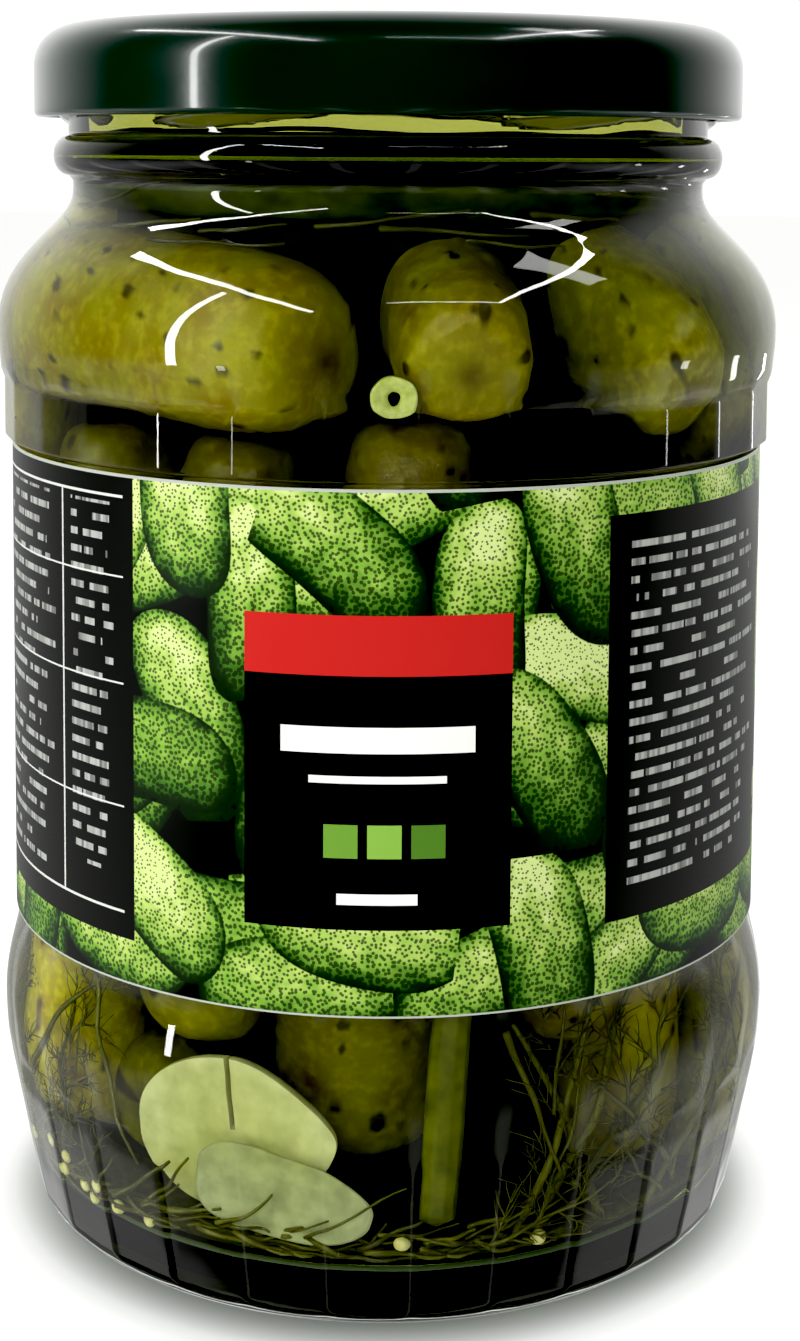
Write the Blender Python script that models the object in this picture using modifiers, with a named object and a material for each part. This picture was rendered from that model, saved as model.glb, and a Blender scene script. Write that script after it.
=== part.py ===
"""Jar of pickled gherkins: a glass twist-off jar with its lid, its paper label and what is in it.

Metres, +Z up. The origin is the middle of the base, on the surface that the jar stands on,
and the front of the label looks along -Y. Azimuths are in degrees round the jar, from the
front (-Y) towards +X. Outlines are lists of (radius, height).
"""

import math
import random

import bmesh
import bpy
from mathutils import Matrix, Vector

# Driving sizes of the glass.
RIM_TOP = 0.1414
RIM_HALF_WIDTH = 0.0013
FINISH_RADIUS = 0.0386
BEAD_HEIGHT = 0.1269
BEAD_PROUD = 0.0018
BEAD_HALF_HEIGHT = 0.0024
NECK_RADIUS = 0.0381
NECK_FOOT = 0.1229
UPPER_BULGE = (0.0471, 0.1063)
FACET_BAND = (0.0942, 0.1000)
FACET_BAND_RADIUS = 0.0464
PANEL_RADIUS = 0.0450
PANEL = (0.0362, 0.0932)
LOWER_BULGE = (0.0468, 0.0255)
HEEL_TOP = 0.0072
HEEL_RADIUS = 0.0446
BEARING_RADIUS = 0.0380
BEARING_WIDTH = 0.0030
PUSH_UP = 0.0026
FACETS = 30
FACET_TURN = -2.0

# Flats of the two rings of facets, top first, as the radius to their middle and the height.
UPPER_FLATS = ((0.0477, 0.1046), (0.0461, 0.1006), (0.0461, 0.0920))
LOWER_FLATS = ((0.0474, 0.0244), (0.0464, 0.0208), (0.0458, 0.0172), (0.0438, 0.0070), (0.0426, 0.0012))

# The inner wall, which is smoother than the outer one.
MOUTH_RADIUS = 0.0360
INNER_NECK = (0.0356, 0.1240)
INNER_UPPER_BULGE = (0.0444, 0.1063)
INNER_PANEL_RADIUS = 0.0425
INNER_PANEL = (0.0340, 0.0970)
INNER_LOWER_BULGE = (0.0437, 0.0255)
INNER_HEEL = (0.0426, 0.0126)
FLOOR_RADIUS = 0.0330
FLOOR_HEIGHT = 0.0048
FLOOR_CROWN = 0.0066

# Threads on the glass and the lugs of the lid that grip under them.
THREADS = 6
THREAD_RADIUS = 0.0013
THREAD_START = 10.0
THREAD_SWEEP = 48.0
THREAD_TOP = 0.1345
THREAD_DROP = 0.0033
THREAD_FADE = 0.2
LUG_SWEEP = 12.0
LUG_REACH = 0.0390
LUG_THICKNESS = 0.0008

# Pressed steel lid.
LID_RADIUS = 0.0426
LID_BOTTOM = 0.1314
LID_TOP = 0.1423
LID_SHEET = 0.0006
LID_PANEL_DROP = 0.0012
LID_PANEL_RADIUS = 0.0330
LID_RING_INNER = 0.0354
LID_RING_OUTER = 0.0376
LID_SHOULDER = 0.0049
CURL_RADIUS = 0.0007

# Paper label, wrapped round the recessed panel with its ends lapped at the back.
LABEL = (0.0367, 0.0929)
LABEL_GAP = 0.0003
LABEL_THICKNESS = 0.0003
LAP = (172.0, 184.0)
LAP_PROUD = 0.00015

# How round the pieces are, and how far the contents keep off the glass.
ROUND_STEPS = 60
LID_STEPS = 48
CONTENTS_GAP = 0.0005

# What fills the jar, from its core outwards: radius, foot and top of the core, and of the bed of dill.
CORE = (0.0290, 0.0080, 0.1215)
CORE_ROUND = 0.0080
BED = (0.0375, 0.0058, 0.0092)
BED_CROWN = 0.0120

# Mat of dill that floats in the neck: radius, foot and top.
DILL_MAT = (0.0335, 0.1190, 0.1255)

# Gherkins that show in front: azimuth, height, roll from upright, lean of the top towards
# the middle, length, width, bend, and how far each stays off the wall.
FRONT_GHERKINS = (
    (-45.0, 0.1068, 86.0, 0.0, 0.043, 0.0170, 0.0035, 0.0),
    (12.2, 0.1074, -5.0, 78.0, 0.024, 0.0137, 0.0010, 0.0005),
    (48.5, 0.1074, 8.0, 64.0, 0.027, 0.0146, 0.0010, 0.0),
    (71.0, 0.1060, -5.0, 44.0, 0.034, 0.0150, 0.0015, 0.0010),
    (5.0, 0.0850, 3.0, 0.0, 0.028, 0.0142, 0.0008, 0.0),
    (-27.0, 0.0840, -8.0, 0.0, 0.026, 0.0145, 0.0008, 0.0010),
    (-52.0, 0.0840, 6.0, 0.0, 0.026, 0.0150, 0.0008, 0.0),
    (-67.0, 0.0350, 5.0, 0.0, 0.038, 0.0155, 0.0012, 0.0),
    (-45.0, 0.0208, 0.0, 88.0, 0.026, 0.0112, 0.0005, 0.0080),
    (-31.0, 0.0490, -6.0, 0.0, 0.041, 0.0145, 0.0010, 0.0010),
    (-6.0, 0.0390, 2.0, -4.0, 0.043, 0.0160, 0.0010, 0.0050),
    (30.0, 0.0490, 12.0, 0.0, 0.041, 0.0130, 0.0010, 0.0010),
    (46.0, 0.0340, -4.0, 0.0, 0.037, 0.0132, 0.0008, 0.0010),
)

# Gherkins round the back, in two layers, and how unlike one another they are.
UPPER_ROW = (93.0, 116.0, 140.0, 171.0, 201.0, 225.0, 250.0, 273.0)
UPPER_ROW_HEIGHT = 0.1010
LOWER_ROW = (72.0, 96.0, 120.0, 144.0, 168.0, 192.0, 216.0, 240.0, 264.0)
LOWER_ROW_HEIGHT = 0.0310
ROW_LENGTH = 0.040
ROW_WIDTH = 0.0152
SEED = 12

# Two halves of garlic cloves: azimuth, height, radius of the cut face, lean, turn, half
# width, half height, thickness, how pointed the right end is and how blunt the corners are.
GARLIC = {
    "garlic_half_upper": (-23.0, 0.0205, 0.0388, -11.0, -4.0, 0.0112, 0.0086, 0.0040, 0.45, 0.95),
    "garlic_half_lower": (-15.0, 0.0151, 0.0405, 0.0, 11.0, 0.0097, 0.0048, 0.0017, 0.35, 0.62),
}
SLIT_WIDTH = 0.0006
SLIT_DEPTH = 0.0085

# Pale stalk and the small cut ring of stem in front of the heap.
STALK_TOP = (12.0, 0.0400, 0.0520)
STALK_FOOT = (8.0, 0.0398, 0.0132)
STALK_WIDTH = 0.0040
STALK_THICKNESS = 0.0022
STEM_RING = (1.0, 0.0419, 0.1024)
STEM_RING_RADIUS = 0.0023
STEM_RING_HOLE = 0.0006
STEM_RING_THICKNESS = 0.0016

# Mustard seeds on the bed, as azimuth and radius, and dill stems, as azimuth, radius and height of
# their foot and of their top.
MUSTARD = ((-59.0, 0.0372), (-53.0, 0.0373), (-49.0, 0.0371), (-45.5, 0.0373), (-38.0, 0.0372),
           (4.0, 0.0373), (24.0, 0.0373), (70.0, 0.0373), (118.0, 0.0372), (165.0, 0.0373),
           (214.0, 0.0372), (261.0, 0.0373))
MUSTARD_RADIUS = 0.0010
STEMS = ((24.0, 0.0375, 0.0105, 36.0, 0.0330, 0.0330), (35.0, 0.0372, 0.0100, 26.0, 0.0340, 0.0290),
         (58.0, 0.0370, 0.0110, 66.0, 0.0340, 0.0330), (78.0, 0.0370, 0.0110, 70.0, 0.0340, 0.0280))
STEM_RADIUS = 0.0006


def arc(centre, radii, start, end, count):
    """Points of an ellipse's stretch about (radius, height), by angle from outwards."""
    points = []
    for i in range(count + 1):
        angle = math.radians(start + (end - start) * i / count)
        points.append((centre[0] + radii[0] * math.cos(angle), centre[1] + radii[1] * math.sin(angle)))
    return points


def curve(start, start_pull, end_pull, end, count):
    """Points of a cubic curve, after its start."""
    points = []
    for i in range(1, count + 1):
        t = i / count
        s = 1.0 - t
        weights = (s ** 3, 3 * s * s * t, 3 * s * t * t, t ** 3)
        corners = (start, start_pull, end_pull, end)
        points.append(tuple(sum(w * c[k] for w, c in zip(weights, corners)) for k in (0, 1)))
    return points


def rim_centre():
    """Middle of the rounded rim."""
    return (MOUTH_RADIUS + RIM_HALF_WIDTH, RIM_TOP - RIM_HALF_WIDTH)


def outer_outline():
    """Outside of the glass, from the top of the rim down to the middle of its underside."""
    bulge_r, bulge_z = UPPER_BULGE
    low_r = LOWER_BULGE[0]
    points = arc(rim_centre(), (RIM_HALF_WIDTH, RIM_HALF_WIDTH), 90, 0, 2)
    points += arc((FINISH_RADIUS, BEAD_HEIGHT), (BEAD_PROUD, BEAD_HALF_HEIGHT), 90, -90, 4)
    points += [(NECK_RADIUS, NECK_FOOT)]
    points += curve((NECK_RADIUS, NECK_FOOT), (NECK_RADIUS, 0.1182), (bulge_r, 0.1160), UPPER_BULGE, 6)
    points += curve(UPPER_BULGE, (bulge_r, bulge_z - 0.002), (FACET_BAND_RADIUS + 0.0003, 0.1030),
                    (FACET_BAND_RADIUS + 0.0003, FACET_BAND[1]), 2)
    points += [(FACET_BAND_RADIUS + 0.0003, FACET_BAND[0])]
    points += [(PANEL_RADIUS, PANEL[1]), (PANEL_RADIUS, PANEL[0])]
    points += curve((PANEL_RADIUS, PANEL[0]), (PANEL_RADIUS, 0.0330), (low_r, 0.0300), LOWER_BULGE, 3)
    points += curve(LOWER_BULGE, (low_r, 0.0205), (HEEL_RADIUS + 0.0011, 0.0125),
                    (HEEL_RADIUS, HEEL_TOP), 3)
    points += arc((BEARING_RADIUS, HEEL_TOP), (HEEL_RADIUS - BEARING_RADIUS, HEEL_TOP), 0, -90, 4)[1:]
    points += [(BEARING_RADIUS - BEARING_WIDTH, 0.0), (0.0310, PUSH_UP * 0.6), (0.0, PUSH_UP)]
    return points


def inner_outline():
    """Inside of the glass, from the mouth down to the middle of its floor."""
    bulge_r, low_r = INNER_UPPER_BULGE[0], INNER_LOWER_BULGE[0]
    panel_top = (INNER_PANEL_RADIUS, INNER_PANEL[1])
    panel_foot = (INNER_PANEL_RADIUS, INNER_PANEL[0])
    points = [(MOUTH_RADIUS, rim_centre()[1]), INNER_NECK]
    points += curve(INNER_NECK, (INNER_NECK[0], 0.1172), (bulge_r, 0.1146), INNER_UPPER_BULGE, 5)
    points += curve(INNER_UPPER_BULGE, (bulge_r, 0.1025), (INNER_PANEL_RADIUS, 0.1015), panel_top, 2)
    points += [panel_foot]
    points += curve(panel_foot, (INNER_PANEL_RADIUS, 0.0310), (low_r, 0.0290), INNER_LOWER_BULGE, 2)
    points += curve(INNER_LOWER_BULGE, (low_r, 0.0200), (INNER_HEEL[0], 0.0170), INNER_HEEL, 1)
    heel_round = (INNER_HEEL[0] - FLOOR_RADIUS, INNER_HEEL[1] - FLOOR_HEIGHT)
    points += arc((FLOOR_RADIUS, INNER_HEEL[1]), heel_round, 0, -90, 4)[1:]
    points += [(0.0, FLOOR_CROWN)]
    return points


def lid_outline():
    """Section of the lid: over the top, down the skirt, round the curl and back inside."""
    panel = LID_TOP - LID_PANEL_DROP
    shoulder = LID_TOP - LID_SHOULDER
    inside = LID_RADIUS - LID_SHEET
    under = LID_TOP - LID_SHEET
    points = [(0.0, panel), (LID_PANEL_RADIUS + 0.0004, panel), (LID_RING_INNER, LID_TOP - 0.0001)]
    points += [(LID_RING_OUTER, LID_TOP)]
    points += curve((LID_RING_OUTER, LID_TOP), (LID_RING_OUTER + 0.0028, LID_TOP - 0.0004),
                    (LID_RADIUS, LID_TOP - 0.0022), (LID_RADIUS, shoulder), 5)
    curl = (LID_RADIUS - CURL_RADIUS, LID_BOTTOM + CURL_RADIUS)
    points += arc(curl, (CURL_RADIUS, CURL_RADIUS), 0, -180, 4)
    points += [(inside, LID_BOTTOM + 0.0018)]
    points += [(inside, shoulder)]
    points += curve((inside, shoulder), (inside, shoulder + 0.0020),
                    (LID_RING_OUTER + 0.0028, under - 0.0005), (LID_RING_OUTER, under), 3)
    points += [(LID_RING_INNER + 0.0005, under), (LID_PANEL_RADIUS + 0.0014, panel - LID_SHEET)]
    points += [(0.0, panel - LID_SHEET)]
    return points


def tidy_scene():
    """Empties the scene and makes the two collections."""
    for old in list(bpy.data.objects):
        bpy.data.objects.remove(old, do_unlink=True)
    for name in ("pickle_jar", "cutters"):
        group = bpy.data.collections.new(name)
        bpy.context.scene.collection.children.link(group)
    return bpy.data.collections["pickle_jar"], bpy.data.collections["cutters"]


def place(name, mesh, group, material=None):
    """Makes an object of a mesh in a collection, with its material."""
    piece = bpy.data.objects.new(name, mesh)
    group.objects.link(piece)
    if material is not None:
        mesh.materials.append(material)
    return piece


def finish_of(name, colour, roughness, metallic=0.0, transmission=0.0, ior=1.5):
    """A Principled material."""
    material = bpy.data.materials.new(name)
    material.use_nodes = True
    shader = material.node_tree.nodes["Principled BSDF"]
    shader.inputs["Base Color"].default_value = (*colour, 1.0)
    shader.inputs["Roughness"].default_value = roughness
    shader.inputs["Metallic"].default_value = metallic
    shader.inputs["Transmission Weight"].default_value = transmission
    shader.inputs["IOR"].default_value = ior
    return material


def turned(name, outline, steps, group, material=None, closed=False):
    """Turns an outline about the jar's axis with a Screw modifier."""
    mesh = bpy.data.meshes.new(name)
    edges = [(i, i + 1) for i in range(len(outline) - 1)]
    if closed:
        edges.append((len(outline) - 1, 0))
    mesh.from_pydata([(r, 0.0, z) for r, z in outline], edges, [])
    piece = place(name, mesh, group, material)
    screw = piece.modifiers.new("Screw", "SCREW")
    screw.steps = steps
    screw.render_steps = steps
    screw.use_merge_vertices = True
    screw.merge_threshold = 0.00001
    return piece


def hide_cutter(piece):
    """Marks a guide that the model itself doesn't show."""
    piece.hide_render = True
    piece.display_type = "WIRE"
    return piece


def add_boolean(piece, operation, other):
    """Joins or cuts a piece with an object, or with all that a collection holds."""
    boolean = piece.modifiers.new(operation.title(), "BOOLEAN")
    boolean.operation = operation
    if isinstance(other, bpy.types.Collection):
        boolean.operand_type = "COLLECTION"
        boolean.collection = other
    else:
        boolean.object = other
    return boolean


def apply_all(piece):
    """Turns a piece and its modifiers into a plain mesh."""
    bpy.context.view_layer.update()
    shown = piece.evaluated_get(bpy.context.evaluated_depsgraph_get())
    mesh = bpy.data.meshes.new_from_object(shown)
    piece.modifiers.clear()
    piece.data = mesh


def join_group(piece, group):
    """Fuses all of a collection's objects to a piece and removes them."""
    add_boolean(piece, "UNION", group)
    apply_all(piece)
    for used in list(group.objects):
        bpy.data.objects.remove(used, do_unlink=True)
    bpy.data.collections.remove(group)


def shade(piece, sharp_angle=40.0):
    """Smooth shading with sharp corners kept."""
    piece.data.shade_smooth()
    piece.data.set_sharp_from_angle(angle=math.radians(sharp_angle))


def outwards(azimuth):
    """Matrix that turns +X to look outwards at an azimuth."""
    return Matrix.Rotation(math.radians(azimuth - 90.0), 4, "Z")


def round_point(azimuth, radius, height):
    """Point round the jar."""
    return outwards(azimuth) @ Vector((radius, 0.0, height))


def helical_thread(index, group):
    """One thread of the glass: a tube that drops clockwise and fades at both ends."""
    path = bpy.data.curves.new("thread", "CURVE")
    path.dimensions = "3D"
    path.bevel_depth = THREAD_RADIUS
    path.bevel_resolution = 1
    path.use_fill_caps = True
    line = path.splines.new("POLY")
    count = 6
    line.points.add(count - 1)
    for i, point in enumerate(line.points):
        t = i / (count - 1)
        azimuth = THREAD_START - THREAD_SWEEP * t + index * 360.0 / THREADS
        spot = round_point(azimuth, FINISH_RADIUS, THREAD_TOP - THREAD_DROP * t)
        point.co = (*spot, 1.0)
        point.radius = min(1.0, 0.35 + min(t, 1.0 - t) / THREAD_FADE)
    tube = place("thread", path, group)
    bpy.context.view_layer.update()
    shown = tube.evaluated_get(bpy.context.evaluated_depsgraph_get())
    mesh = bpy.data.meshes.new_from_object(shown)
    bpy.data.objects.remove(tube, do_unlink=True)
    shape = bmesh.new()
    shape.from_mesh(mesh)
    bmesh.ops.remove_doubles(shape, verts=shape.verts, dist=0.00001)
    bmesh.ops.recalc_face_normals(shape, faces=shape.faces)
    shape.to_mesh(mesh)
    shape.free()
    return place("thread", mesh, group)


def facet_cutter(name, flats, cutters):
    """Ring whose bore has flat sides: it trims the round glass to facets."""
    outside = UPPER_BULGE[0] + 0.013
    bore = [corner(radius, height) for radius, height in flats]
    top, foot = bore[0], bore[-1]
    outline = [(outside, top[1]), (outside, foot[1])] + list(reversed(bore))
    cutter = turned(name, outline, FACETS, cutters, closed=True)
    cutter.rotation_euler.z = math.radians(FACET_TURN)
    return hide_cutter(cutter)


def corner(flat_radius, height):
    """Corner of a ring of facets, from the radius to the middle of its flats."""
    return (flat_radius / math.cos(math.pi / FACETS), height)


def make_jar(group, cutters):
    """Glass body with its threads, bead and two rings of facets, whose corners fall on its round steps."""
    glass = finish_of("clear_glass", (0.86, 0.92, 0.84), 0.03, transmission=1.0, ior=1.52)
    inside = list(reversed(inner_outline()))
    mouth = arc(rim_centre(), (RIM_HALF_WIDTH, RIM_HALF_WIDTH), 180, 90, 2)[1:-1]
    jar = turned("jar", inside + mouth + outer_outline(), ROUND_STEPS, group, glass)
    jar.rotation_euler.z = math.radians(FACET_TURN)
    threads = bpy.data.collections.new("threads")
    bpy.context.scene.collection.children.link(threads)
    for index in range(THREADS):
        helical_thread(index, threads)
    join_group(jar, threads)
    for name, flats in (("upper_facets", UPPER_FLATS), ("lower_facets", LOWER_FLATS)):
        add_boolean(jar, "DIFFERENCE", facet_cutter(name, flats, cutters))
    apply_all(jar)
    shade(jar, 20.0)
    return jar


def lug(index, group):
    """Flattened stretch of the curl that grips under one thread."""
    start = LUG_SWEEP / 2 + index * 360.0 / THREADS
    steps = 4
    low, high = LID_BOTTOM + 0.0001, LID_BOTTOM + 0.0001 + LUG_THICKNESS
    outer = LID_RADIUS - 0.0011
    shape = bmesh.new()
    bmesh.ops.create_grid(shape, x_segments=steps, y_segments=1, size=0.5)
    for vert in shape.verts:
        azimuth = start + vert.co.x * LUG_SWEEP
        radius = outer if vert.co.y > 0 else LUG_REACH
        vert.co = round_point(azimuth, radius, low)
    faces = list(shape.faces)
    raised = bmesh.ops.extrude_face_region(shape, geom=faces)
    for vert in (v for v in raised["geom"] if isinstance(v, bmesh.types.BMVert)):
        vert.co.z = high
    bmesh.ops.recalc_face_normals(shape, faces=shape.faces)
    mesh = bpy.data.meshes.new("lug")
    shape.to_mesh(mesh)
    shape.free()
    return place("lug", mesh, group)


def make_lid(group):
    """Lacquered steel lid with its sealing ring, curl and lugs."""
    lacquer = finish_of("green_lacquered_steel", (0.008, 0.075, 0.040), 0.25)
    lid = turned("lid", lid_outline(), LID_STEPS, group, lacquer)
    lugs = bpy.data.collections.new("lugs")
    bpy.context.scene.collection.children.link(lugs)
    for index in range(THREADS):
        lug(index, lugs)
    join_group(lid, lugs)
    shade(lid)
    return lid


def make_label(group):
    """Paper band with its lapped end at the back."""
    paper = finish_of("printed_paper", (0.03, 0.04, 0.03), 0.45)
    inner = PANEL_RADIUS + LABEL_GAP
    outer = inner + LABEL_THICKNESS
    outline = [(outer, LABEL[1]), (outer, LABEL[0]), (inner, LABEL[0]), (inner, LABEL[1])]
    label = turned("label", outline, ROUND_STEPS, group, paper, closed=True)
    apply_all(label)
    middle = math.radians((LAP[0] + LAP[1]) / 2 - 90.0)
    half = math.radians(LAP[1] - LAP[0]) / 2 + 0.01
    for vert in label.data.vertices:
        angle = math.atan2(vert.co.y, vert.co.x)
        off = (angle - middle + math.pi) % (2 * math.pi) - math.pi
        if abs(off) < half and vert.co.xy.length > (inner + outer) / 2:
            vert.co.xy *= 1.0 + LAP_PROUD / outer
    shade(label)
    return label


def wall_radius(height):
    """Radius of the inner wall at a height, or nothing below the floor's edge."""
    outline = inner_outline()
    for (upper_r, upper_z), (lower_r, lower_z) in zip(outline, outline[1:]):
        if lower_z <= height <= upper_z and upper_z > lower_z:
            return lower_r + (upper_r - lower_r) * (height - lower_z) / (upper_z - lower_z)
    return 0.0


def clears_glass(points, gap):
    """Whether every point keeps a gap to the inner wall and the floor."""
    for point in points:
        if point.z < FLOOR_CROWN + gap and point.xy.length < FLOOR_RADIUS:
            return False
        if point.xy.length > wall_radius(point.z) - gap:
            return False
    return True


def gherkin_shape(length, width, bend, sides, rings):
    """One gherkin along Z: blunt ends, a fuller middle and a slight bend outwards."""
    shape = bmesh.new()
    bmesh.ops.create_uvsphere(shape, u_segments=sides, v_segments=rings, radius=1.0)
    for vert in shape.verts:
        t = vert.co.z
        around = math.atan2(vert.co.y, vert.co.x)
        girth = width / 2 * (1.0 - abs(t) ** 3.2) ** 0.5 * (1.0 - 0.06 * t)
        reach = girth if abs(t) < 0.999 else 0.0
        vert.co = Vector((reach * math.cos(around) + bend * (0.5 - t * t), reach * math.sin(around),
                          length / 2 * math.sin(t * math.pi / 2)))
    return shape


def gherkin(name, spot, group, sides=9, rings=7):
    """A gherkin slid inwards along its azimuth until it clears the glass."""
    azimuth, height, roll, lean, length, width, bend, off_wall = spot
    shape = gherkin_shape(length, width, bend, sides, rings)
    turn = Matrix.Rotation(math.radians(roll), 4, "X") @ Matrix.Rotation(math.radians(-lean), 4, "Y")
    radius = INNER_UPPER_BULGE[0]
    while radius > 0.010:
        place_at = outwards(azimuth) @ Matrix.Translation((radius, 0.0, height)) @ turn
        points = [place_at @ vert.co for vert in shape.verts]
        if clears_glass(points, CONTENTS_GAP + off_wall):
            break
        radius -= 0.00025
    for vert, point in zip(shape.verts, points):
        vert.co = point
    mesh = bpy.data.meshes.new(name)
    shape.to_mesh(mesh)
    shape.free()
    return place(name, mesh, group)


def row_gherkins():
    """Gherkins of the two layers that go on round the back, each a little different."""
    draw = random.Random(SEED)
    spots = []
    rows = ((UPPER_ROW, UPPER_ROW_HEIGHT, 10.0), (LOWER_ROW, LOWER_ROW_HEIGHT, 2.0))
    for azimuths, height, inwards in rows:
        for azimuth in azimuths:
            length = ROW_LENGTH * draw.uniform(0.92, 1.06)
            width = ROW_WIDTH * draw.uniform(0.94, 1.08)
            roll = draw.uniform(-9.0, 9.0)
            lean = inwards + draw.uniform(-2.0, 3.0)
            level = height + draw.uniform(-0.002, 0.002)
            spots.append((azimuth, level, roll, lean, length, width, 0.001, 0.0))
    return spots


def tapered_solid(name, foot, top, radii, sides, group):
    """Round solid between two points."""
    along = top - foot
    shape = bmesh.new()
    bmesh.ops.create_cone(shape, cap_ends=True, segments=sides, radius1=radii[0], radius2=radii[1],
                          depth=along.length)
    turn = along.to_track_quat("Z", "Y").to_matrix().to_4x4()
    bmesh.ops.transform(shape, verts=shape.verts, matrix=Matrix.Translation((foot + top) / 2) @ turn)
    mesh = bpy.data.meshes.new(name)
    shape.to_mesh(mesh)
    shape.free()
    return place(name, mesh, group)


def make_pickles(group):
    """The heap: a core with the gherkins, the dill bed and mat, stems and seeds that show fused on."""
    skin = finish_of("gherkin_skin", (0.20, 0.22, 0.02), 0.35)
    core_r, core_foot, core_top = CORE
    core = [(0.0, core_top), (core_r * 0.8, core_top), (core_r, core_top - CORE_ROUND),
            (core_r, core_foot + 0.002), (core_r, core_foot), (0.0, core_foot)]
    heap = turned("pickles", core, 16, group, skin)
    parts = bpy.data.collections.new("heap_parts")
    bpy.context.scene.collection.children.link(parts)
    bed_r, bed_foot, bed_top = BED
    bed = [(0.0, BED_CROWN), (bed_r - 0.0075, BED_CROWN), (bed_r - 0.0025, bed_top + 0.0010),
           (bed_r, bed_top), (bed_r, bed_top - 0.001), (bed_r - 0.0035, bed_foot + 0.0002),
           (bed_r - 0.0075, FLOOR_CROWN + 0.0005), (0.0, FLOOR_CROWN + 0.0008)]
    turned("dill_bed", bed, 20, parts)
    mat_r, mat_foot, mat_top = DILL_MAT
    mat = [(0.0, mat_top), (mat_r, mat_top - 0.0012), (mat_r - 0.0016, mat_foot), (0.0, mat_foot)]
    turned("dill_mat", mat, 18, parts)
    for index, spot in enumerate(FRONT_GHERKINS):
        gherkin("front_gherkin_%02d" % index, spot, parts)
    for index, spot in enumerate(row_gherkins()):
        gherkin("row_gherkin_%02d" % index, spot, parts, 7, 5)
    for azimuth, radius in MUSTARD:
        shape = bmesh.new()
        bmesh.ops.create_icosphere(shape, subdivisions=1, radius=MUSTARD_RADIUS)
        bmesh.ops.translate(shape, verts=shape.verts, vec=round_point(azimuth, radius, bed_top))
        mesh = bpy.data.meshes.new("mustard_seed")
        shape.to_mesh(mesh)
        shape.free()
        place("mustard_seed", mesh, parts)
    for foot_a, foot_r, foot_z, top_a, top_r, top_z in STEMS:
        tapered_solid("dill_stem", round_point(foot_a, foot_r, foot_z), round_point(top_a, top_r, top_z),
                      (STEM_RADIUS, STEM_RADIUS), 5, parts)
    join_group(heap, parts)
    shade(heap)
    return heap


def clove_side(around, pointed, blunt):
    """Side of a clove at an angle from its right end, for half sizes of one."""
    across, up = math.cos(around), math.sin(around)
    across = math.copysign(abs(across) ** blunt, across)
    up = math.copysign(abs(up) ** blunt, up) * (1.0 - pointed * max(across, 0.0) ** 2)
    return across, up


def make_garlic(group, cutters):
    """Two halves of garlic cloves with their flat cut faces towards the glass."""
    flesh = finish_of("pickled_garlic", (0.62, 0.66, 0.38), 0.4)
    for name, values in GARLIC.items():
        azimuth, height, radius, lean, turn, half_width, half_height, thick, pointed, blunt = values
        shape = bmesh.new()
        bmesh.ops.create_uvsphere(shape, u_segments=16, v_segments=12, radius=1.0)
        for vert in shape.verts:
            reach = math.hypot(vert.co.y, vert.co.z)
            across, up = clove_side(math.atan2(vert.co.z, vert.co.y), pointed, blunt)
            vert.co = Vector((vert.co.x * thick, reach * across * half_width, reach * up * half_height))
        everything = shape.verts[:] + shape.edges[:] + shape.faces[:]
        bmesh.ops.bisect_plane(shape, geom=everything, plane_co=(-0.0001, 0, 0), plane_no=(1, 0, 0),
                               clear_outer=True)
        rim = [edge for edge in shape.edges if edge.is_boundary]
        bmesh.ops.contextual_create(shape, geom=rim)
        tilt = Matrix.Rotation(math.radians(-lean), 4, "Y") @ Matrix.Rotation(math.radians(-turn), 4, "X")
        place_at = outwards(azimuth) @ Matrix.Translation((radius, 0.0, height)) @ tilt
        bmesh.ops.transform(shape, verts=shape.verts, matrix=place_at)
        bmesh.ops.recalc_face_normals(shape, faces=shape.faces)
        mesh = bpy.data.meshes.new(name)
        shape.to_mesh(mesh)
        shape.free()
        half = place(name, mesh, group, flesh)
        if name == "garlic_half_upper":
            cut = bmesh.new()
            bmesh.ops.create_cube(cut, size=1.0)
            bmesh.ops.scale(cut, verts=cut.verts, vec=(thick * 3, SLIT_WIDTH, SLIT_DEPTH))
            slit_middle = Matrix.Translation((0.0, 0.0, half_height - SLIT_DEPTH / 2 + 0.001))
            bmesh.ops.transform(cut, verts=cut.verts, matrix=place_at @ slit_middle)
            slit = bpy.data.meshes.new("slit")
            cut.to_mesh(slit)
            cut.free()
            add_boolean(half, "DIFFERENCE", hide_cutter(place("slit", slit, cutters)))
        shade(half)


def make_stalk(group):
    """Pale strip of stalk that stands against the glass beside the gherkins."""
    pale = finish_of("pale_stalk", (0.42, 0.47, 0.16), 0.4)
    foot, top = round_point(*STALK_FOOT), round_point(*STALK_TOP)
    stalk = tapered_solid("stalk", foot, top, (STALK_WIDTH / 2, STALK_WIDTH / 2 * 0.9), 10, group)
    middle = (foot + top) / 2
    outward = Vector((middle.x, middle.y, 0.0)).normalized()
    slope = (top - middle).dot(outward) / (top.z - middle.z)
    for vert in stalk.data.vertices:
        depth = (vert.co - middle).dot(outward) - slope * (vert.co.z - middle.z)
        vert.co -= outward * depth * (1.0 - STALK_THICKNESS / STALK_WIDTH)
    stalk.data.materials.append(pale)
    shade(stalk)
    return stalk


def make_stem_ring(group):
    """Small ring cut from a hollow stem, lying against the glass."""
    pale = finish_of("pale_stem", (0.42, 0.47, 0.16), 0.4)
    half = STEM_RING_THICKNESS / 2
    outline = [(STEM_RING_RADIUS, half), (STEM_RING_RADIUS, -half), (STEM_RING_HOLE, -half),
               (STEM_RING_HOLE, half)]
    ring = turned("stem_ring", outline, 14, group, pale, closed=True)
    azimuth, radius, height = STEM_RING
    face_out = Matrix.Rotation(math.pi / 2, 4, "Y")
    ring.matrix_world = outwards(azimuth) @ Matrix.Translation((radius, 0.0, height)) @ face_out
    shade(ring)
    return ring


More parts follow.
